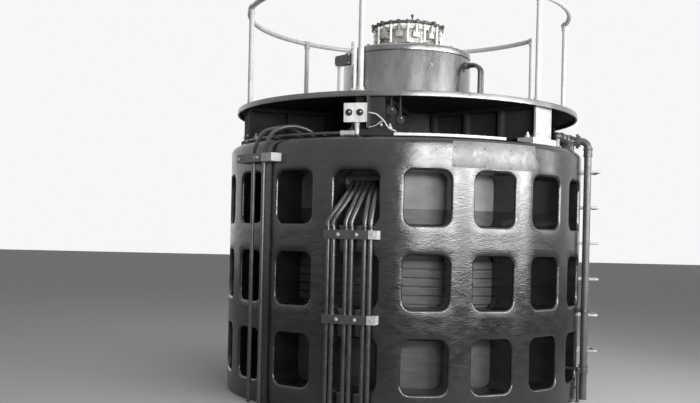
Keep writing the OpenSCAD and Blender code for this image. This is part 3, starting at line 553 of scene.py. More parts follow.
def frame_shell():
    """The cast frame in one piece. Each window has a rounded mouth and a duct to the core."""
    corner_steps, side_steps = 3, 6
    steps = side_steps + 2 * corner_steps
    half_cell = radians(COLUMN_PITCH / 2) * FRAME_R
    inner_r = FRAME_R - FRAME_WALL
    inner_low, inner_high = FRAME_BOTTOM + FLANGE_T, FRAME_TOP - FLANGE_T
    lip_turns = [15 * i for i in range(1, 7)]
    shape = Shape()

    def window_rings(row):
        z = WINDOW_Z + row * ROW_PITCH
        low, high = -ROW_PITCH / 2, ROW_PITCH / 2
        in_low = inner_low - z if row == 0 else low
        in_high = inner_high - z if row == ROWS - 1 else high

        def mouth(offset):
            return rounded_loop(WINDOW_W / 2 + offset, WINDOW_H / 2 + offset,
                WINDOW_CORNER + offset, side_steps, corner_steps)

        edge = outline_loop(half_cell, low, high, steps)
        lip = mouth(LIP_R)
        between = [((a[0] + b[0]) / 2, (a[1] + b[1]) / 2) for a, b in zip(edge, lip)]
        rings = [(edge, 0.0, False), (between, 0.0, False), (lip, 0.0, False)]
        for turn in lip_turns:
            t = radians(turn)
            rings.append((mouth(LIP_R * (1 - sin(t))), LIP_R * (1 - cos(t)), True))
        rings.append((mouth(0.0), DUCT_DEPTH, True))
        rings.append((mouth(DUCT_T), DUCT_DEPTH, True))
        rings.append((mouth(DUCT_T), FRAME_WALL, True))
        rings.append((outline_loop(half_cell, in_low, in_high, steps), FRAME_WALL, False))
        return z, rings

    def spot(s, h, depth, straight, middle, z):
        """A point of a ring: straight rings keep their width on the way inwards."""
        r = FRAME_R - depth
        turn = asin(FRAME_R * sin(s / FRAME_R) / r) if straight else s / FRAME_R
        return polar(r, middle + degrees(turn), z + h)

    for column in range(COLUMNS):
        middle = COLUMN_PHASE + column * COLUMN_PITCH
        for row in range(ROWS):
            z, rings = window_rings(row)
            verts = [spot(s, h, depth, straight, middle, z) for loop, depth, straight in rings
                for s, h in loop]
            shape.add(verts, quads(4 * steps, len(rings) - 1, len(rings)))

    top_cell = WINDOW_Z + (ROWS - 0.5) * ROW_PITCH
    low_cell = WINDOW_Z - 0.5 * ROW_PITCH
    shoulder = arc_points(FRAME_R - SHOULDER_R, FRAME_TOP - SHOULDER_R, SHOULDER_R, 0, 90, 8)
    upper = ([(FRAME_R, top_cell), (FRAME_R, (top_cell + shoulder[0][1]) / 2)] + shoulder + [(1.38,
        FRAME_TOP), (1.29, FRAME_TOP), (FLANGE_IN, FRAME_TOP), (FLANGE_IN, inner_high),
        (inner_r, inner_high)])
    lower = [(FRAME_R, low_cell), (FRAME_R, FRAME_BOTTOM + 0.004), (FRAME_R - 0.004, FRAME_BOTTOM),
        (FLANGE_IN, FRAME_BOTTOM), (FLANGE_IN, inner_low), (inner_r, inner_low)]
    around = COLUMNS * steps
    for profile in (upper, lower):
        verts = []
        for i in range(around):
            a = COLUMN_PHASE - COLUMN_PITCH / 2 + 360 * i / around
            verts += [polar(r, a, z) for r, z in profile]
        shape.add(verts, quads(len(profile), around, around, closed=False))
    bmesh.ops.remove_doubles(shape.bm, verts=shape.bm.verts, dist=2e-5)
    for row in range(ROWS - 1):
        z = WINDOW_Z + (row + 0.5) * ROW_PITCH
        shape.lathe(band(FLANGE_IN, inner_r - 0.0002, z - 0.015, z + 0.015), 108)
    low, high = FRAME_BOTTOM + FLANGE_T / 2, FRAME_TOP - FLANGE_T / 2
    web_in, web_out = 1.210, 1.4598
    for column in range(COLUMNS):
        for side in (-1, 1):
            shape.box((WEB_T, web_out - web_in, high - low),
                (side * (WINDOW_W / 2 + 0.004 + WEB_T / 2), -(web_in + web_out) / 2,
                (low + high) / 2), at(COLUMN_PHASE + column * COLUMN_PITCH), 0)
    nodes = ["frame_segment_%d" % (i + 1) for i in range(SEGMENTS)]
    shape.piece("frame_shell", ENAMEL, "frame_enamel", *nodes, sharp=40)


frame_shell()

Shape().bolts(0.028, 0.030, COLUMNS, COLUMN_PHASE, BOLT_CIRCLE_R,
    FRAME_BOTTOM + FLANGE_T).piece("foundation_nuts", CLAMP, "clamp_iron")


def name_plate():
    """The plain plate on the frame, over the top row of windows."""
    shape, screws = shapes(2)
    low, high = 1.806, 1.996
    shape.lathe(band(FRAME_R + 0.0001, FRAME_R + 0.003, low, high, 0.001), 40, 9.8, 36.8)
    for angle in (10.5, 19.2, 27.6, 36.1):
        for z in (low + 0.014, high - 0.050):
            screws.ball(0.006, (0, 0, 0), at(angle, FRAME_R + 0.002, z), 12)
    shape.piece("frame_plate", PLATE, "frame_enamel")
    screws.piece("frame_plate_screws", PLATE, "frame_enamel")


name_plate()


def shields():
    """Sheet shields round the end windings: pale above the core, dark below it."""
    upper, lower, rivets = shapes(3)
    top = CORE_TOP + END_RING_T
    upper.lathe(band(CORE_R - 0.008, CORE_R, top, FRAME_TOP), 144)
    lower.lathe(band(CORE_R - 0.008, CORE_R, FRAME_BOTTOM, CORE_Z - END_RING_T), 144)
    for i in range(COLUMNS // 2):
        angle = COLUMN_PHASE + (2 * i + 0.5) * COLUMN_PITCH
        for side in (-0.35, 0.35):
            for k in range(9):
                rivets.ball(0.004, (0, 0, 0), at(angle + side, CORE_R, 1.56 + 0.05 * k), 8)
    upper.piece("upper_shield", SHIELD, "shield_paint", "winding_shields")
    lower.piece("lower_shield", CORE, "core_iron")
    rivets.piece("shield_rivets", SHIELD, "shield_paint")


shields()


# Spider, feet and deck

def spider():
    arms, nuts, lit_end, painted = shapes(4)
    height = ARM_TOP - ARM_BOTTOM
    middle = (ARM_BOTTOM + ARM_TOP) / 2
    length = ARM_R - ARM_START - ARM_END_T
    housing = [(SHAFT_R + SEAT, HOUSING_BOTTOM), (HOUSING_R + 0.030, HOUSING_BOTTOM),
        (HOUSING_R + 0.030, HOUSING_BOTTOM + 0.028), (HOUSING_R, HOUSING_BOTTOM + 0.028),
        (HOUSING_R, ARM_TOP), (SHAFT_R + SEAT, ARM_TOP)]
    arms.lathe(rounded_profile(housing, 0.006), 72)
    nuts.bolts(0.010, 0.012, 18, 0, HOUSING_R + 0.016, HOUSING_BOTTOM + 0.028)
    for i in range(ARMS):
        place = at(ARM_PHASE + i * ARM_STEP)
        arms.box((ARM_W, length, 0.030), (0, -ARM_START - length / 2, ARM_TOP - 0.015), place)
        arms.box((ARM_W, length, 0.030), (0, -ARM_START - length / 2, ARM_BOTTOM + 0.015), place)
        arms.box((0.096, length, height), (0, -ARM_START - length / 2, middle), place)
        for r in (0.390, 0.727, 1.063):
            arms.box((ARM_W - 0.002, 0.030, height), (0, -r, middle), place)
        # One arm's end and foot take the painted light colour, the other arms' the painted shade
        # colour
        end = lit_end if i == PAINTED_LIT_ARM else painted
        end.box((ARM_W, 0.020, height - 0.001), (0, -ARM_R + 0.010, middle), place, 0.002)
        end.box((FOOT_W, FOOT_D, FOOT_T), (0, -(ARM_R + 0.015 - FOOT_D / 2),
            FRAME_TOP + FOOT_T / 2), place, 0.005)
        for side in (-1, 1):
            spot = place @ move(side * 0.138, -ARM_R + 0.055, FRAME_TOP + FOOT_T)
            nuts.bolt(0.019, 0.022, spot)
            nuts.rod(0.010, 0.020, 0.044, 12, spot)
            nuts.bolt(0.009, 0.010, place @ move(side * 0.085, -ARM_R, ARM_BOTTOM + 0.030) @ OUTWARD)
    # The arms take the dark under-deck colour: black paint with painted shade
    arms.piece("spider_arms", UNDER_DECK_PAINT_AND_SHADE, "frame_enamel", "bearing_spider")
    lit_end.piece("arm_end_and_foot_painted_light", FOOT_PAINTED_LIGHT, "pale_metal", "spider_feet")
    painted.piece("arm_ends_and_feet_painted_shade", UNDER_DECK_PAINT_AND_SHADE, "frame_enamel")
    nuts.piece("spider_bolts", BLOCK, "pale_metal")


spider()


def deck():
    rim, plate, under, screws = shapes(4)
    low = DECK_TOP - RIM_H
    rim.lathe(band(DECK_R - RIM_T, DECK_R, low, DECK_TOP, 0.004), 180)
    plate_low = DECK_TOP - DECK_T
    edge = DECK_R - RIM_T - SEAT
    sector = band(SHAFT_R + 0.006, edge, plate_low + 0.002, DECK_TOP - 0.001, 0.001)
    for i in range(ARMS):
        start = ARM_PHASE + i * ARM_STEP
        plate.lathe(sector, 24, start + 0.10, start + ARM_STEP - 0.10)
        for k in range(7):
            for side in (-1, 1):
                screws.rod(0.008, -0.004, 0.0009, 12, at(start, 0.66 + 0.12 * k,
                    DECK_TOP - 0.001) @ move(side * 0.022, 0, 0), 0.0006)
    # A thin dark sheet under the tread plate: its colour is partly black paint and partly painted
    # shade of the deck
    under.lathe(band(HOUSING_R + 0.02, edge, plate_low, plate_low + 0.0019), 144)
    for i in range(36):
        screws.rod(0.007, -0.002, 0.0008, 12, at(5 + 10 * i, DECK_R, DECK_TOP - 0.026) @ OUTWARD,
            0.0005)
    rim.piece("deck_rim_band", RIM, "deck_iron", "deck_rim")
    plate.piece("deck_tread", DECK, "deck_iron", "deck_plate")
    under.piece("deck_underside_paint_and_shade", UNDER_DECK_PAINT_AND_SHADE, "frame_enamel")
    screws.piece("deck_screws", RIM, "deck_iron")


deck()


# Exciter and brush gear

def exciter():
    yoke, cover, nuts = shapes(3)
    yoke.lathe(rounded_profile([(YOKE_R - YOKE_WALL, DECK_TOP), (YOKE_R + 0.026, DECK_TOP),
        (YOKE_R + 0.026, DECK_TOP + 0.022), (YOKE_R, DECK_TOP + 0.022), (YOKE_R, YOKE_TOP),
        (YOKE_R - 0.008, YOKE_TOP), (YOKE_R - 0.008, COVER_Z), (YOKE_R - YOKE_WALL, COVER_Z)],
        0.003), 128)
    profile = ([(COMMUTATOR_R + 0.006, COVER_Z)] + arc_points(YOKE_R - 0.004, COVER_Z + 0.004,
        0.004, -90, 0, 3) + arc_points(YOKE_R - 0.022, COVER_TOP - 0.022, 0.022, 0, 90,
        7) + [(COMMUTATOR_R + 0.03, COVER_TOP), (COMMUTATOR_R + 0.006, COVER_TOP)])
    cover.lathe(profile, 128)
    nuts.bolts(0.014, 0.020, 12, 15, 0.490, COVER_TOP)
    nuts.bolts(0.009, 0.012, 12, 6, YOKE_R + 0.014, DECK_TOP + 0.022)
    for angle in (-62, -22, 18, 58, 98, 138, 178, 218):
        for z in (DECK_TOP + 0.13, YOKE_TOP - 0.11):
            nuts.bolt(0.012, 0.010, at(angle, YOKE_R - 0.0005, z) @ OUTWARD)
    yoke.piece("exciter_drum", EXCITER, "exciter_paint", "exciter_yoke")
    cover.piece("exciter_top", EXCITER, "exciter_paint", "exciter_cover")
    nuts.piece("exciter_bolts", EXCITER, "exciter_paint")


exciter()


def brush_gear():
    posts, ring, guard, holders, tails = shapes(5)
    sockets, springs = shapes(2)
    low, top = COVER_TOP, RING_TOP
    for i in range(POSTS):
        place = at(POST_PHASE + i * 30, POST_CIRCLE_R)
        sockets.turned([(0, low), (0.027, low), (0.027, low + 0.008), (0.021, low + 0.012),
            (0.0205, low + 0.034), (0.018, low + 0.054), (0.0125, low + 0.060), (0, low + 0.060)],
            24, place)
        posts.rod(POST_R, low + 0.055, RING_LOW - 0.0005, 20, place)
        posts.bolt(0.015, 0.010, place @ move(0, 0, low + 0.060))
        posts.disc(0.015, RING_LOW - 0.013, RING_LOW - 0.001, 6, place)
        posts.turned([(0, top), (0.015, top), (0.015, top + 0.010), (0.010, top + 0.0135),
            (0, top + 0.014)], 6, place)
        ring.turned([(0, RING_LOW), (0.022, RING_LOW), (0.022, top - 0.002), (0.020, top),
            (0, top)], 24, place)
    ring.lathe(rounded_profile([(POST_CIRCLE_R - 0.014, RING_LOW + 0.004),
        (RING_OUT - 0.010, RING_LOW + 0.004), (RING_OUT, RING_LOW + 0.010), (RING_OUT, top - 0.006),
        (RING_OUT - 0.008, top - 0.002), (POST_CIRCLE_R - 0.014, top - 0.002)], 0.003), 96)
    guard.lathe(band(0.251, 0.2747, 3.070, 3.096, 0.006), 96)
    for i in range(POSTS):
        place = at(POST_PHASE + 15 + i * 30)
        for side in (-1, 1):
            holders.box((0.006, 0.043, 0.050), (side * 0.025, -HOLDER_R, HOLDER_Z), place, 0.0015)
            holders.along((side * 0.028, -0.290, 3.050), (side * 0.020, -0.290, 3.050), 0.009, 16,
                0.001, place)
        holders.box((0.044, 0.006, 0.050), (0, -0.287, HOLDER_Z), place, 0.0015)
        holders.box((0.044, 0.043, 0.005), (0, -HOLDER_R, 3.0035), place, 0.001)
        holders.box((0.020, 0.021, 0.074), (0, -0.2855, 3.0725), place, 0.003)
        for side in (-1, 1):
            tails.box((0.017, 0.050, 0.034), (side * 0.0105, -0.262, HOLDER_Z), place, 0.0015)
            springs.tube([(side * 0.020 + 0.0016 * side * sin(t * 0.8),
                -0.290 - (0.0085 - 0.00016 * t) * cos(t * 0.55),
                3.050 + (0.0085 - 0.00016 * t) * sin(t * 0.55)) for t in range(0, 44)], 0.0011, 6,
                place)
            tails.tube(smooth_path([(side * 0.010, -0.250, 3.041), (side * 0.016, -0.254, 3.066),
                (side * 0.020, -0.272, 3.074), (side * 0.012, -0.292, 3.092),
                (side * 0.006, -0.296, 3.104)], 4), 0.0028, 8, place)
        ring.box((0.026, LUG_OUT - 0.286, RING_TOP - RING_LOW - 0.002),
            (0, -(LUG_OUT + 0.286) / 2, (RING_TOP + RING_LOW) / 2), place, 0.003)
        springs.bolt(0.007, 0.007, at(POST_PHASE + 15 + i * 30, 0.314, top - 0.001))
    handle = at(POST_PHASE + 7, RING_OUT - 0.014)
    ring.turned([(0, top - 0.002), (0.007, top - 0.002), (0.006, top + 0.018), (0.013, top + 0.028),
        (0.014, top + 0.036), (0.009, top + 0.044), (0, top + 0.046)], 20, handle)
    posts.piece("brush_post_set", BRASS, "brass_posts", "brush_posts")
    sockets.piece("brush_post_sockets", BRUSH, "brush_iron")
    ring.piece("rocker_ring", BRUSH, "brush_iron", "brush_ring")
    guard.piece("guard_ring", PALE, "pale_metal")
    holders.piece("brush_boxes", BRASS_DARK, "brass_posts", "brush_holders")
    tails.piece("carbon_brushes", BRUSH, "brush_iron")
    springs.piece("brush_springs", STEEL, "shaft_steel")


brush_gear()


def commutator():
    """Copper bars with undercut mica between them, and the clamp ring, on the rotor."""
    shape, clamp, bolts = shapes(3)
    count = COMMUTATOR_BARS
    pitch = 360 / count
    slot = degrees(0.0024 / COMMUTATOR_R)
    low, high = COMMUTATOR_Z, COMMUTATOR_Z + COMMUTATOR_H
    edge = 0.002
    loop = []
    for i in range(count):
        a = (i + 0.5) * pitch
        half = (pitch - slot) / 2
        loop += [(COMMUTATOR_R - 0.004, a - half), (COMMUTATOR_R, a - half), (COMMUTATOR_R, a),
            (COMMUTATOR_R, a + half), (COMMUTATOR_R - 0.004, a + half)]
    rings = [(low, edge), (low + edge, 0.0), (high - edge, 0.0), (high, edge)]
    verts = [polar(r - back, a, z) for z, back in rings for r, a in loop]
    verts += [polar(SHAFT_R + SEAT, a, z) for z in (high, low) for r, a in loop]
    rows = len(rings) + 2
    shape.add(verts, quads(len(loop), rows, rows))
    clamp.lathe(band(SHAFT_R + SEAT, SHAFT_R + 0.0853, high, high + 0.012, 0.002), 96)
    bolts.bolts(0.008, 0.010, 8, 22.5, 0.178, high + 0.012)
    shape.piece("commutator_bars", COPPER, "commutator_copper", "commutator", body="rotor")
    clamp.piece("commutator_clamp", STEEL, "shaft_steel", body="rotor")
    bolts.piece("commutator_bolts", STEEL, "shaft_steel", body="rotor")


commutator()


# Handrail

def handrail():
    rail, posts, fittings = shapes(3)
    steps = 150
    start, end = GATE_FAR - RAIL_END, GATE_NEAR + 360 + RAIL_END
    rail.tube([polar(RAIL_R, start + (end - start) * i / steps, RAIL_Z) for i in range(steps + 1)],
        PIPE_R, 20)
    height = RAIL_Z - DECK_TOP
    for angle in STANCHIONS:
        place = at(angle, RAIL_R, DECK_TOP)
        posts.rod(PIPE_R, 0.030, height - 0.024, 20, place)
        fittings.turned([(0, 0), (0.0455, 0), (0.046, 0.003), (0.046, 0.010), (0.043, 0.014),
            (0.031, 0.0155), (0.0275, 0.020), (0.0275, 0.036), (0.025, 0.040), (0.0215, 0.0405),
            (0, 0.0405)], 28, place)
        fittings.turned([(0, height - 0.051), (0.0225, height - 0.051), (0.0278, height - 0.047),
            (0.0278, height - 0.038), (0.0258, height - 0.036), (0.0258, height - 0.010),
            (0, height - 0.010)], 28, place)
        across = place @ move(0, 0, height) @ Matrix.Rotation(pi / 2, 4, "Y")
        half = 0.030
        fittings.lathe([(0.0213, -half), (0.0262, -half), (0.0278, -half + 0.002),
            (0.0278, -half + 0.009), (0.0262, -half + 0.011), (0.0262, half - 0.011),
            (0.0278, half - 0.009), (0.0278, half - 0.002), (0.0262, half), (0.0213, half)], 28,
            matrix=across)
        fittings.ball(0.0277, (0, 0, height), place, 24)
        for turn in (30, 150, 270):
            spot = place @ yaw(turn)
            fittings.bolt(0.0055, 0.006, spot @ move(0, -0.0365, 0.0140))
    rail.piece("rail_ring", RAIL, "rail_paint", "handrail")
    posts.piece("rail_posts", RAIL, "rail_paint", "stanchions")
    fittings.piece("rail_fittings", RAIL, "rail_paint")


handrail()


# Leads and their clamps

def lumpy(path, r, seed, swell=0.0007):
    """Radii of a taped lead, a little uneven along its length."""
    return [r - swell * (0.5 + 0.5 * sin(seed + 2.4 * i) * cos(1.3 * seed + 0.9 * i))
        for i in range(len(path))]


def straight_down(r, angle, high, step=0.03):
    count = int(high / step)
    return [polar(r, angle, high * (1 - i / count)) for i in range(1, count + 1)]


def leads():
    main, side = shapes(2)
    for i in range(3):
        angle = LEADS[i]
        beside = Vector((cos(radians(angle)), sin(radians(angle)), 0))
        route = smooth_path([(CORE_R + 0.008, LEADS_AT_START[i], 1.700),
            (1.320, (LEADS_AT_START[i] + LEADS_AT_WINDOW[i]) / 2, 1.690),
            (1.430, LEADS_AT_WINDOW[i], 1.620), (1.515, (LEADS_AT_WINDOW[i] + angle) / 2, 1.500),
            (LEAD_RUN_R, angle, 1.400), (LEAD_RUN_R, angle, 1.343)], 10)
        path = [polar(*p) for p in route] + straight_down(LEAD_RUN_R, angle, 1.343)
        for turn in (-1, 1):
            main.tube([p + turn * PAIR_HALF * beside for p in path],
                lumpy(path, LEAD_R, 3 * i + turn), 20)
    for angle in SIDE_LEADS:
        route = smooth_path([(CORE_R + 0.090, angle + 11, FRAME_TOP + 0.016),
            (CORE_R + 0.108, angle + 10, FRAME_TOP + 0.062), (1.400, angle + 6.5, 2.122),
            (1.505, angle + 3, 2.085), (1.545, angle + 1, 1.990), (LEAD_RUN_R, angle, 1.924),
            (LEAD_RUN_R, angle, 1.916)], 8)
        path = [polar(CORE_R + 0.090, angle + 11, FRAME_TOP + SEAT)]
        path += [polar(*p) for p in route] + straight_down(LEAD_RUN_R, angle, 1.916)
        side.tube(path, lumpy(path, SIDE_LEAD_R, angle), 18)
    main.piece("main_lead_cables", CABLE, "cable_cover", "main_leads")
    # A dark board in the duct of the lead window: painted shade, where the shield behind the leads
    # lies in shadow
    shade_board = Shape()
    shade_board.box((0.300, 0.004, 0.260), (0, -1.2040, 1.640), at(-16.72), 0.001)
    shade_board.piece("lead_window_painted_shade_board", CLAMP, "clamp_iron")
    side.piece("side_lead_cables", CABLE_PALE, "cable_cover", "side_leads")


leads()


def clamp_outline(start, end, front):
    """Plan of a clamp bar: flat in front, hollow to the frame behind."""
    steps = 10
    back = [(end + (start - end) * i / steps) for i in range(steps + 1)]
    seat = FRAME_R + SEAT
    return [(start, -front), (end, -front)] + [(x, -sqrt(seat * seat - x * x)) for x in back]

def clamps():
    bars, blocks, bolts = shapes(3)
    for angle, z, start, end, width, marks in ((-17.0, UPPER_CLAMP_Z, -0.200, 0.133, 0.062,
            (-0.091, 0.047)), (-17.0, LOWER_CLAMP_Z, -0.200, 0.133, 0.062, (-0.091, 0.047)),
            (-49.6, SIDE_CLAMP_Z, -0.230, 0.078, 0.132, (-0.205, 0.008, 0.045))):
        place = at(angle, 0, z)
        bars.prism(clamp_outline(start, end, CLAMP_FRONT), -0.032, 0.032, place)
        blocks.prism(clamp_outline(end + SEAT, end + SEAT + width, BLOCK_FRONT), -0.031, 0.031,
            place)
        for x in marks:
            spot = place @ move(x, -CLAMP_FRONT, 0) @ OUTWARD
            bolts.bolt(0.010, 0.009, spot)
            bolts.rod(0.005, 0.008, 0.016, 12, spot)
        spot = place @ move(end + width * 0.55, -BLOCK_FRONT, 0) @ OUTWARD
        bolts.bolt(0.012, 0.006, spot)
    bars.piece("lead_clamp_bars", CLAMP, "clamp_iron", "lead_clamps")
    blocks.piece("lead_clamp_blocks", BLOCK, "clamp_iron")
    bolts.piece("lead_clamp_bolts", BLOCK, "clamp_iron")


clamps()


# Junction box, conduit and strip

def junction_box():
    body, plates, dark, pins_and_glints, wires = shapes(5)
    glands = Shape()
    place = at(ARM_PHASE)
    low, high = 2.119, 2.258
    middle = (low + high) / 2
    shift = -0.095
    body.box((0.166, 0.074, high - low - 0.004), (shift, -1.4375, middle), place, 0.003)
    body.box((0.012, 0.0895, 0.2313), (0, -1.4452, 2.1957), place, 0.002)
    body.box((0.030, 0.034, 0.040), (-0.014, -1.4380, middle), place, 0.002)
    for side in (-1, 1):
        x = shift + side * 0.0408
        plates.box((0.080, 0.015, high - low), (x, -1.4822, middle), place, 0.003)
        spot = place @ move(x, -1.4897, middle) @ OUTWARD
        dark.turned([(0, 0), (0.0255, 0), (0.0255, 0.004), (0.021, 0.007), (0.017, 0.016),
            (0.010, 0.018), (0, 0.018)], 28, spot)
        # A pale pin at the upper right of each dark socket: a painted highlight where the socket
        # catches the light
        pins_and_glints.rod(0.0060, 0.010, 0.0195, 14, spot @ move(0.009, 0.003, 0))
        for dx in (-0.031, 0.031):
            for dz in (-0.058, 0.058):
                pins_and_glints.ball(0.004, (0, 0, 0), place @ move(x + dx, -1.4880, middle + dz), 10)
    pins_and_glints.box((0.012, 0.016, high - low), (shift + 0.0885, -1.4822, middle), place, 0.002)
    wires.tube(smooth_path([polar(1.452, -13.78, 2.192), polar(1.450, -11.8, 2.181),
        polar(1.445, -10.7, 2.160), polar(1.440, -9.5, 2.131), polar(1.430, -8.4, 2.090),
        polar(1.420, -7.5, 2.074), polar(1.412, -6.4, 2.066), polar(1.408, -6.0, 2.054)], 6),
        0.0055, 10)
    wires.tube(smooth_path([polar(1.450, -13.78, 2.086), polar(1.450, -11.7, 2.101),
        polar(1.445, -10.6, 2.125), polar(1.440, -9.5, 2.131)], 6), 0.003, 8)
    for angle, z, r in ((-7.9, 2.213, 0.038), (-5.1, 2.150, 0.034)):
        glands.turned([(0, 0), (r, 0), (r, 0.030), (r * 0.8, 0.036), (r * 0.3, 0.038), (0, 0.038)],
            28, at(angle, 1.360, z) @ OUTWARD)
        glands.along(polar(1.350, angle, z), polar(1.350, angle, DECK_TOP - DECK_T - 0.001), 0.008)
        # A pale ball on the face of each gland: a painted glint
        pins_and_glints.ball(0.0045, (0.35 * r, -0.038, 0.25 * r), at(angle, 1.360, z), 10)
    body.piece("box_body", CLAMP, "clamp_iron", "junction_box")
    plates.piece("box_plates", BOX, "box_paint")
    # Sockets and glands under the deck take the dark colour that is partly black paint, partly
    # painted shade
    dark.piece("box_sockets", UNDER_DECK_PAINT_AND_SHADE, "clamp_iron")
    glands.piece("deck_glands", UNDER_DECK_PAINT_AND_SHADE, "clamp_iron")
    pins_and_glints.piece("box_pins_and_painted_glints", PALE, "pale_metal")
    wires.piece("box_wires", BLOCK, "cable_cover")


junction_box()


def conduit():
    pipe, fitting, straps, strip, screws = shapes(5)
    r, z = 1.445, 2.0478

    def run(shape, start, end, radius, steps):
        shape.tube([polar(r, start + (end - start) * i / steps, z) for i in range(steps + 1)],
            radius, 18)

    run(pipe, -66, -21.85, 0.0125, 44)
    run(fitting, -21.85, -17.9, 0.0172, 6)
    for start in (-22.3, -18.9):
        run(fitting, start, start + 0.7, 0.0198, 3)
    riser = at(-17.4, r)
    fitting.ball(0.0174, (0, 0, z), riser)
    fitting.rod(0.0172, z, 2.1265, 20, riser)
    fitting.disc(0.0215, 2.104, 2.122, 6, riser)
    for angle in (-63, -54, -45, -36, -27):
        place = at(angle, r)
        straps.box((0.026, 0.064, 0.004), (0, 0, FRAME_TOP + 0.0022), place, 0.001)
        straps.tube([(0, 0.0148 * cos(radians(t)), z + 0.0148 * sin(radians(t)))
            for t in range(-40, 221, 20)], 0.0022, 8, place)
        for side in (-1, 1):
            straps.bolt(0.006, 0.006, place @ move(0, side * 0.024, FRAME_TOP + 0.004))
    step = (28 + 6.6) / 4
    for i in range(4):
        start = -6.6 + i * step
        strip.lathe(band(BOLT_CIRCLE_R, BOLT_CIRCLE_R + 0.050, FRAME_TOP, FRAME_TOP + 0.020, 0.003),
            12, start, start + step - 0.10)
        for k in (0.15, 0.5, 0.85):
            screws.bolt(0.008, 0.007, at(start + step * k, BOLT_CIRCLE_R + 0.025,
                FRAME_TOP + 0.020))
    pipe.piece("conduit_pipe", CLAMP, "clamp_iron", "conduit")
    fitting.piece("conduit_fitting", BLOCK, "clamp_iron")
    straps.piece("conduit_straps", CLAMP, "clamp_iron")
    strip.piece("edge_strip_plates", PALE, "pale_metal", "edge_strip")
    screws.piece("edge_strip_bolts", CLAMP, "clamp_iron")


conduit()


# Valve, oil pipe and step irons

def oil_system():
    valve, pipe, drain, bolts = shapes(4)
    place = at(OIL_PIPE_ANGLE, 0, OIL_LEVEL)
    body_in, body_out, body_mid = 1.305, 1.478, 1.3915
    radial = place @ OUTWARD
    valve.turned([(0, body_in), (0.060, body_in), (0.060, body_in + 0.016),
        (0.038, body_in + 0.020), (0.040, body_in + 0.040), (0.046, body_in + 0.060),
        (0.046, body_out - 0.060), (0.040, body_out - 0.040), (0.038, body_out - 0.020),
        (0.060, body_out - 0.016), (0.060, body_out), (0, body_out)], 28, radial)
    valve.box((0.104, 0.100, 0.080), (0, -body_mid, -0.0549), place, 0.006)
    valve.turned([(0, 0), (0.034, 0), (0.034, 0.044), (0.031, 0.050), (0, 0.050)], 24,
        place @ move(0, -body_mid, 0))
    for k in range(6):
        turn = yaw(60 * k + 30)
        for r in (body_in + 0.016, body_out - 0.016):
            spin = radial @ move(0, 0, r) @ turn
            flip = Matrix.Rotation(pi, 4, "X") if r > body_mid else Matrix.Identity(4)
            bolts.bolt(0.007, 0.008, spin @ move(0.050, 0, 0) @ flip)
        bolts.bolt(0.0045, 0.004, place @ move(0, -body_mid, 0.050) @ turn @ move(0.024, 0, 0))
    steps = 18
    start, end = 56.0, OIL_PIPE_ANGLE - 1.6
    valve.tube([polar(body_mid, start + (end - start) * i / steps, OIL_LEVEL)
        for i in range(steps + 1)], 0.026, 20)
    for angle in (59.0, 64.0):
        valve.tube([polar(body_mid, angle + 0.25 * i, OIL_LEVEL) for i in range(9)],
            [0.034, 0.040, 0.040, 0.040, 0.034, 0.040, 0.040, 0.040, 0.034], 12)
    elbow = at(start, body_mid)
    valve.ball(0.033, (0, 0, OIL_LEVEL), elbow, 24)
    valve.rod(0.026, FRAME_TOP + 0.012, OIL_LEVEL, 24, elbow)
    valve.disc(0.026, FRAME_TOP + 0.0005, FRAME_TOP + 0.012, 24, elbow)
    bend = 0.062
    run_end = 1.4783
    arc = [(-(OIL_RUN_R - bend) - bend * cos(radians(t)), OIL_LEVEL - bend + bend * sin(radians(t)))
        for t in range(0, 91, 9)]
    local = yaw(OIL_PIPE_ANGLE)
    path = [(0, -OIL_RUN_R, z) for z in (0.0, 0.3, 0.6, 0.9, 1.2, 1.5, 1.8)]
    path += [(0, y, z) for y, z in arc] + [(0, -run_end, OIL_LEVEL)]
    pipe.tube(path, OIL_PIPE_R, 28, local)
    run = at(OIL_PIPE_ANGLE, OIL_RUN_R)
    for z in (1.995, 0.212):
        pipe.turned([(0, z), (0.034, z), (0.037, z + 0.004), (0.037, z + 0.022), (0.034, z + 0.024),
            (0, z + 0.024)], 8, run)
        pipe.rod(0.035, z + 0.024, z + 0.052, 24, run)
        pipe.turned([(0, z + 0.052), (0.036, z + 0.052), (0.0385, z + 0.056), (0.0385, z + 0.074),
            (0.034, z + 0.076), (0, z + 0.076)], 8, run)
    pipe.rod(0.0335, 0.0, 0.012, 24, run)
    pipe.turned(band(0, 0.047, run_end, run_end + 0.0135), 28,
        local @ move(0, 0, OIL_LEVEL) @ OUTWARD)
    bracket = run @ move(0, 0, 0.734)
    valve.lathe(band(0.0303, 0.039, -0.021, 0.021), 32, matrix=bracket)
    valve.box((0.038, 0.030, 0.042), (0, 0.0395, 0), bracket, 0.002)
    for side in (-1, 1):
        valve.box((0.026, 0.012, 0.042), (side * 0.048, 0, 0), bracket, 0.002)
        bolts.bolt(0.007, 0.008, bracket @ move(side * 0.050, -0.006, 0) @ OUTWARD)
    spot = at(66.0, 1.532)
    drain.rod(0.012, 0.0, 0.262, 18, spot)
    drain.disc(0.018, 0.240, 0.262, 6, spot)
    drain.ball(0.0155, (0, 0, 0.270), spot, 18)
    drain.along(polar(1.532, 66.0, 0.270), polar(1.420, 66.0, 0.270), 0.012)
    drain.box((0.024, 0.0315, 0.020), (0, -1.5162, 0.120), at(66.0), 0.002)
    drain.rod(0.020, 0.0, 0.010, 18, spot)
    valve.piece("valve_body", CLAMP, "clamp_iron", "valve_block")
    pipe.piece("oil_pipe_run", PIPE, "pipe_iron", "oil_pipe")
    drain.piece("drain_pipe", CLAMP, "pipe_iron")
    bolts.piece("valve_bolts", BLOCK, "clamp_iron")


oil_system()


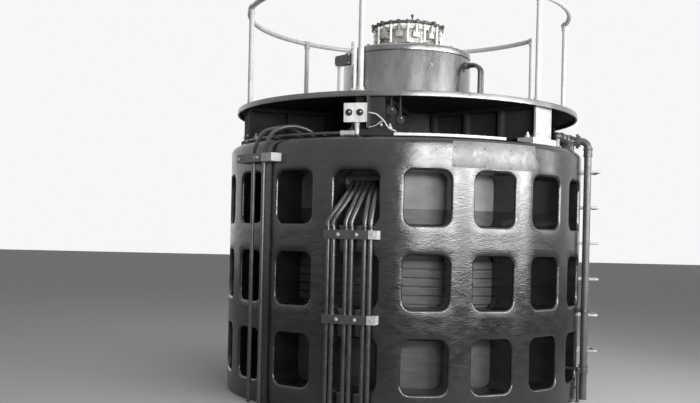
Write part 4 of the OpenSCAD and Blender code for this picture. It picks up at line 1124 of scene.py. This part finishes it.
def step_irons():
    irons = Shape()
    r, bend = 0.011, 0.0275
    half, outer = 0.125 - r, FRAME_R + 0.175 - r
    for k in range(STEPS):
        place = at(STEP_ANGLE, 0, STEP_Z + k * STEP_PITCH)
        path = [(-half, -1.4970, 0), (-half, -1.56, 0)]
        for side in (-1, 1):
            turns = range(0, 91, 15) if side < 0 else range(90, -1, -15)
            path += [(side * (half - bend + bend * cos(radians(t))),
                -(outer - bend + bend * sin(radians(t))), 0) for t in turns]
        path += [(half, -1.56, 0), (half, -1.4970, 0)]
        irons.tube(path, r, 18, place)
        for side in (-1, 1):
            foot = place @ move(side * half, -1.4956, 0)
            foot = foot @ OUTWARD
            irons.turned([(0, 0), (0.021, 0), (0.021, 0.007), (0.014, 0.011), (0, 0.011)], 24, foot)
    irons.piece("step_iron_set", BLOCK, "clamp_iron", "step_irons")


step_irons()


# Exciter leads and oil gauge

def exciter_leads():
    cables, bushes, pale = shapes(3)
    place = yaw(61.0)
    z, straight, bend, r = 2.765, 0.066, 0.070, 0.017
    seat = YOKE_R + SEAT
    for side in (-1, 1):
        x = side * 0.026
        path = [(x, -seat - 0.010, z), (x, -seat - 0.030, z), (x, -seat - 0.050, z)]
        path += [(x, -seat - straight - bend * sin(radians(t)), z - bend + bend * cos(radians(t)))
            for t in range(0, 91, 10)]
        low = z - bend
        path += [(x, -seat - straight - bend, low - (low - DECK_TOP) * k / 10)
            for k in range(1, 11)]
        cables.tube(path, lumpy(path, r, side + 5), 20, place)
        spot = place @ move(x, -seat, z) @ OUTWARD
        bushes.turned([(0, 0), (0.025, 0), (0.025, 0.005), (0.019, 0.008), (0.024, 0.012),
            (0.018, 0.016), (0.022, 0.020), (0.0178, 0.025), (0, 0.026)], 28, spot)
        spot = place @ move(x, -seat - straight - bend, DECK_TOP)
        pale.turned([(0, 0), (0.0245, 0), (0.0245, 0.010), (0.0185, 0.016), (0.0185, 0.046),
            (0.0172, 0.050), (0, 0.050)], 24, spot)
    cables.piece("exciter_cables", CABLE, "cable_cover", "exciter_leads")
    bushes.piece("exciter_bushings", BRUSH, "cable_cover")
    pale.piece("exciter_lead_sockets", PALE, "pale_metal")


exciter_leads()


def oil_gauge():
    column, dark, glass, oil, brass = shapes(5)
    place = at(-48.0, YOKE_R + 0.073, DECK_TOP)
    low, high = 0.168, 0.358
    column.turned([(0, 0), (0.0448, 0), (0.0448, 0.011), (0.042, 0.014), (0.028, 0.016),
        (0.024, 0.024), (0.024, low - 0.010), (0, low - 0.010)], 28, place)
    column.turned([(0, high + 0.010), (0.024, high + 0.010), (0.024, 0.552), (0.020, 0.560),
        (0, 0.5605)], 28, place)
    back = [(0.024 * sin(radians(t)), 0.024 * cos(radians(t))) for t in range(-105, 106, 15)]
    column.prism([(-x, y) for x, y in back], low - 0.011, high + 0.011, place)
    for side in (-1, 1):
        column.box((0.012, 0.020, high - low + 0.022), (side * 0.0158, -0.008, (low + high) / 2),
            place, 0.002)
    for z in (0.470, 0.510, 0.543):
        brass.bolt(0.007, 0.006, place @ move(0, -0.0235, z) @ OUTWARD)
    glass.rod(0.0068, low - 0.004, high + 0.004, 18, place @ move(0, -0.013, 0))
    oil.rod(0.0050, low - 0.004, low + 0.110, 14, place @ move(0, -0.013, 0))
    for z in (low - 0.008, high - 0.006):
        brass.disc(0.0085, z, z + 0.014, 6, place @ move(0, -0.013, 0))
    dark.box((0.193, 0.058, 0.082), (-0.1105, 0, 0.420), place, 0.005)
    dark.box((0.194, 0.006, 0.083), (-0.1105, -0.0268, 0.420), place, 0.002)
    for dx in (-0.198, -0.030):
        for dz in (0.386, 0.454):
            brass.bolt(0.005, 0.004, place @ move(dx, -0.0296, dz) @ OUTWARD)
    thin = place @ move(-0.185, 0, 0)
    column.rod(0.012, 0.006, 0.380, 18, thin)
    column.turned([(0, 0), (0.024, 0), (0.024, 0.008), (0.014, 0.010), (0, 0.010)], 20, thin)
    column.disc(0.017, 0.358, 0.3775, 6, thin)
    column.piece("gauge_column", PALE, "pale_metal", "oil_gauge")
    dark.piece("gauge_box", CLAMP, "clamp_iron")
    glass.piece("gauge_glass", GLASS, "")
    oil.piece("gauge_oil", OIL, "")
    brass.piece("gauge_fittings", BRASS, "brass_posts")


oil_gauge()

for name, finish in (("sole_ring", ENAMEL), ("stator_core", CORE), ("core_end_rings", CORE),
        ("end_windings", TAPE), ("shaft", STEEL), ("rotor_spider", CORE), ("rotor_poles", POLE)):
    dress(name, finish)


# Floor, backdrop, light and camera

def lamp(name, place, target, size, power, spread=180.0):
    data = bpy.data.lights.new(name, "AREA")
    data.shape = "RECTANGLE"
    data.size, data.size_y = size
    data.energy = power
    data.spread = radians(spread)
    obj = put(name, data)
    obj.location = place
    aim = Vector(target) - Vector(place)
    obj.rotation_euler = aim.to_track_quat("-Z", "Y").to_euler()


FLOOR_HALF = 60
FLOOR_COLOUR = (0.72, 0.72, 0.71, 1)


def floor():
    bm = bmesh.new()
    bmesh.ops.create_grid(bm, x_segments=1, y_segments=1, size=FLOOR_HALF)
    mesh = bpy.data.meshes.new("floor")
    bm.to_mesh(mesh)
    bm.free()
    obj = put("floor", mesh)
    mat = bpy.data.materials.new("floor_paint")
    mat.use_nodes = True
    fill(mat.node_tree.nodes["Principled BSDF"], {"Base Color": FLOOR_COLOUR, "Roughness": 0.8})
    mesh.materials.append(mat)


# Tone and strength of the light from around, and of what the camera sees there
SKY = (1, 0.08)
BACKGROUND = (0.93, 1.0)


def world():
    """Near white to camera, glossy and transmission rays, a faint even light to others."""
    scene = bpy.context.scene
    scene.world = bpy.data.worlds.new("studio")
    scene.world.use_nodes = True
    nodes, links = scene.world.node_tree.nodes, scene.world.node_tree.links
    nodes.clear()
    path = nodes.new("ShaderNodeLightPath")
    seen = path.outputs["Is Camera Ray"]
    for ray in ("Is Glossy Ray", "Is Transmission Ray"):
        either = nodes.new("ShaderNodeMath")
        either.operation = "MAXIMUM"
        links.new(seen, either.inputs[0])
        links.new(path.outputs[ray], either.inputs[1])
        seen = either.outputs[0]
    blend = nodes.new("ShaderNodeMixShader")
    links.new(seen, blend.inputs[0])
    for place, (tone, strength) in enumerate((SKY, BACKGROUND), 1):
        shade = fill(nodes.new("ShaderNodeBackground"), {"Color": (tone, tone, tone, 1),
            "Strength": strength})
        links.new(shade.outputs[0], blend.inputs[place])
    out = nodes.new("ShaderNodeOutputWorld")
    links.new(blend.outputs[0], out.inputs[0])


floor()
world()

# Distance of the window lamps from the shaft, and the spread of their light in degrees
LAMP_R = 8.0
LAMP_SPREAD = 75
# Name, angle, height, height of what it lights, size and power of each window lamp
WINDOW_LAMPS = []
for number, angle in enumerate((8, 23, 38, 53, 68)):
    WINDOW_LAMPS += [("upper_window_%d" % number, angle, 2.5, 2.3, (1.6, 0.9), 26),
        ("lower_window_%d" % number, angle, 1.35, 1.5, (1.6, 0.5), 6)]
WINDOW_LAMPS += [("high_windows", 60, 4.3, 2.9, (7.0, 2.0), 31),
    ("front_window", 16, 4.3, 2.9, (2.4, 2.0), 9), ("side_window", 90, 3.0, 2.6, (1.4, 2.4), 9)]
for name, angle, height, aim, size, power in WINDOW_LAMPS:
    lamp(name, polar(LAMP_R, angle, height), (0, 0, aim), size, power, LAMP_SPREAD)
lamp("roof_light", (0.5, -1.0, 8.5), (0.2, -0.6, 0.0), (9.0, 7.0), 150)

# The camera's place and lens, worked out from the windows in the photograph
EYE_X = -0.3091 * FRAME_R
EYE_Y = -5.3545 * FRAME_R
EYE_Z = 1.26825
FOCAL_PX = 917.2
FRAME_PX = 700
ROLL = 0.02265
HORIZON_PX = 38.5
camera_data = bpy.data.cameras.new("camera")
camera_data.sensor_width = 36.0
camera_data.lens = FOCAL_PX / FRAME_PX * camera_data.sensor_width
camera_data.shift_y = HORIZON_PX / FRAME_PX
camera = put("camera", camera_data)
camera.location = (EYE_X, EYE_Y, EYE_Z)
camera.rotation_euler = (pi / 2, -ROLL, 0)
bpy.context.scene.camera = camera
bpy.context.scene.view_settings.view_transform = "Standard"
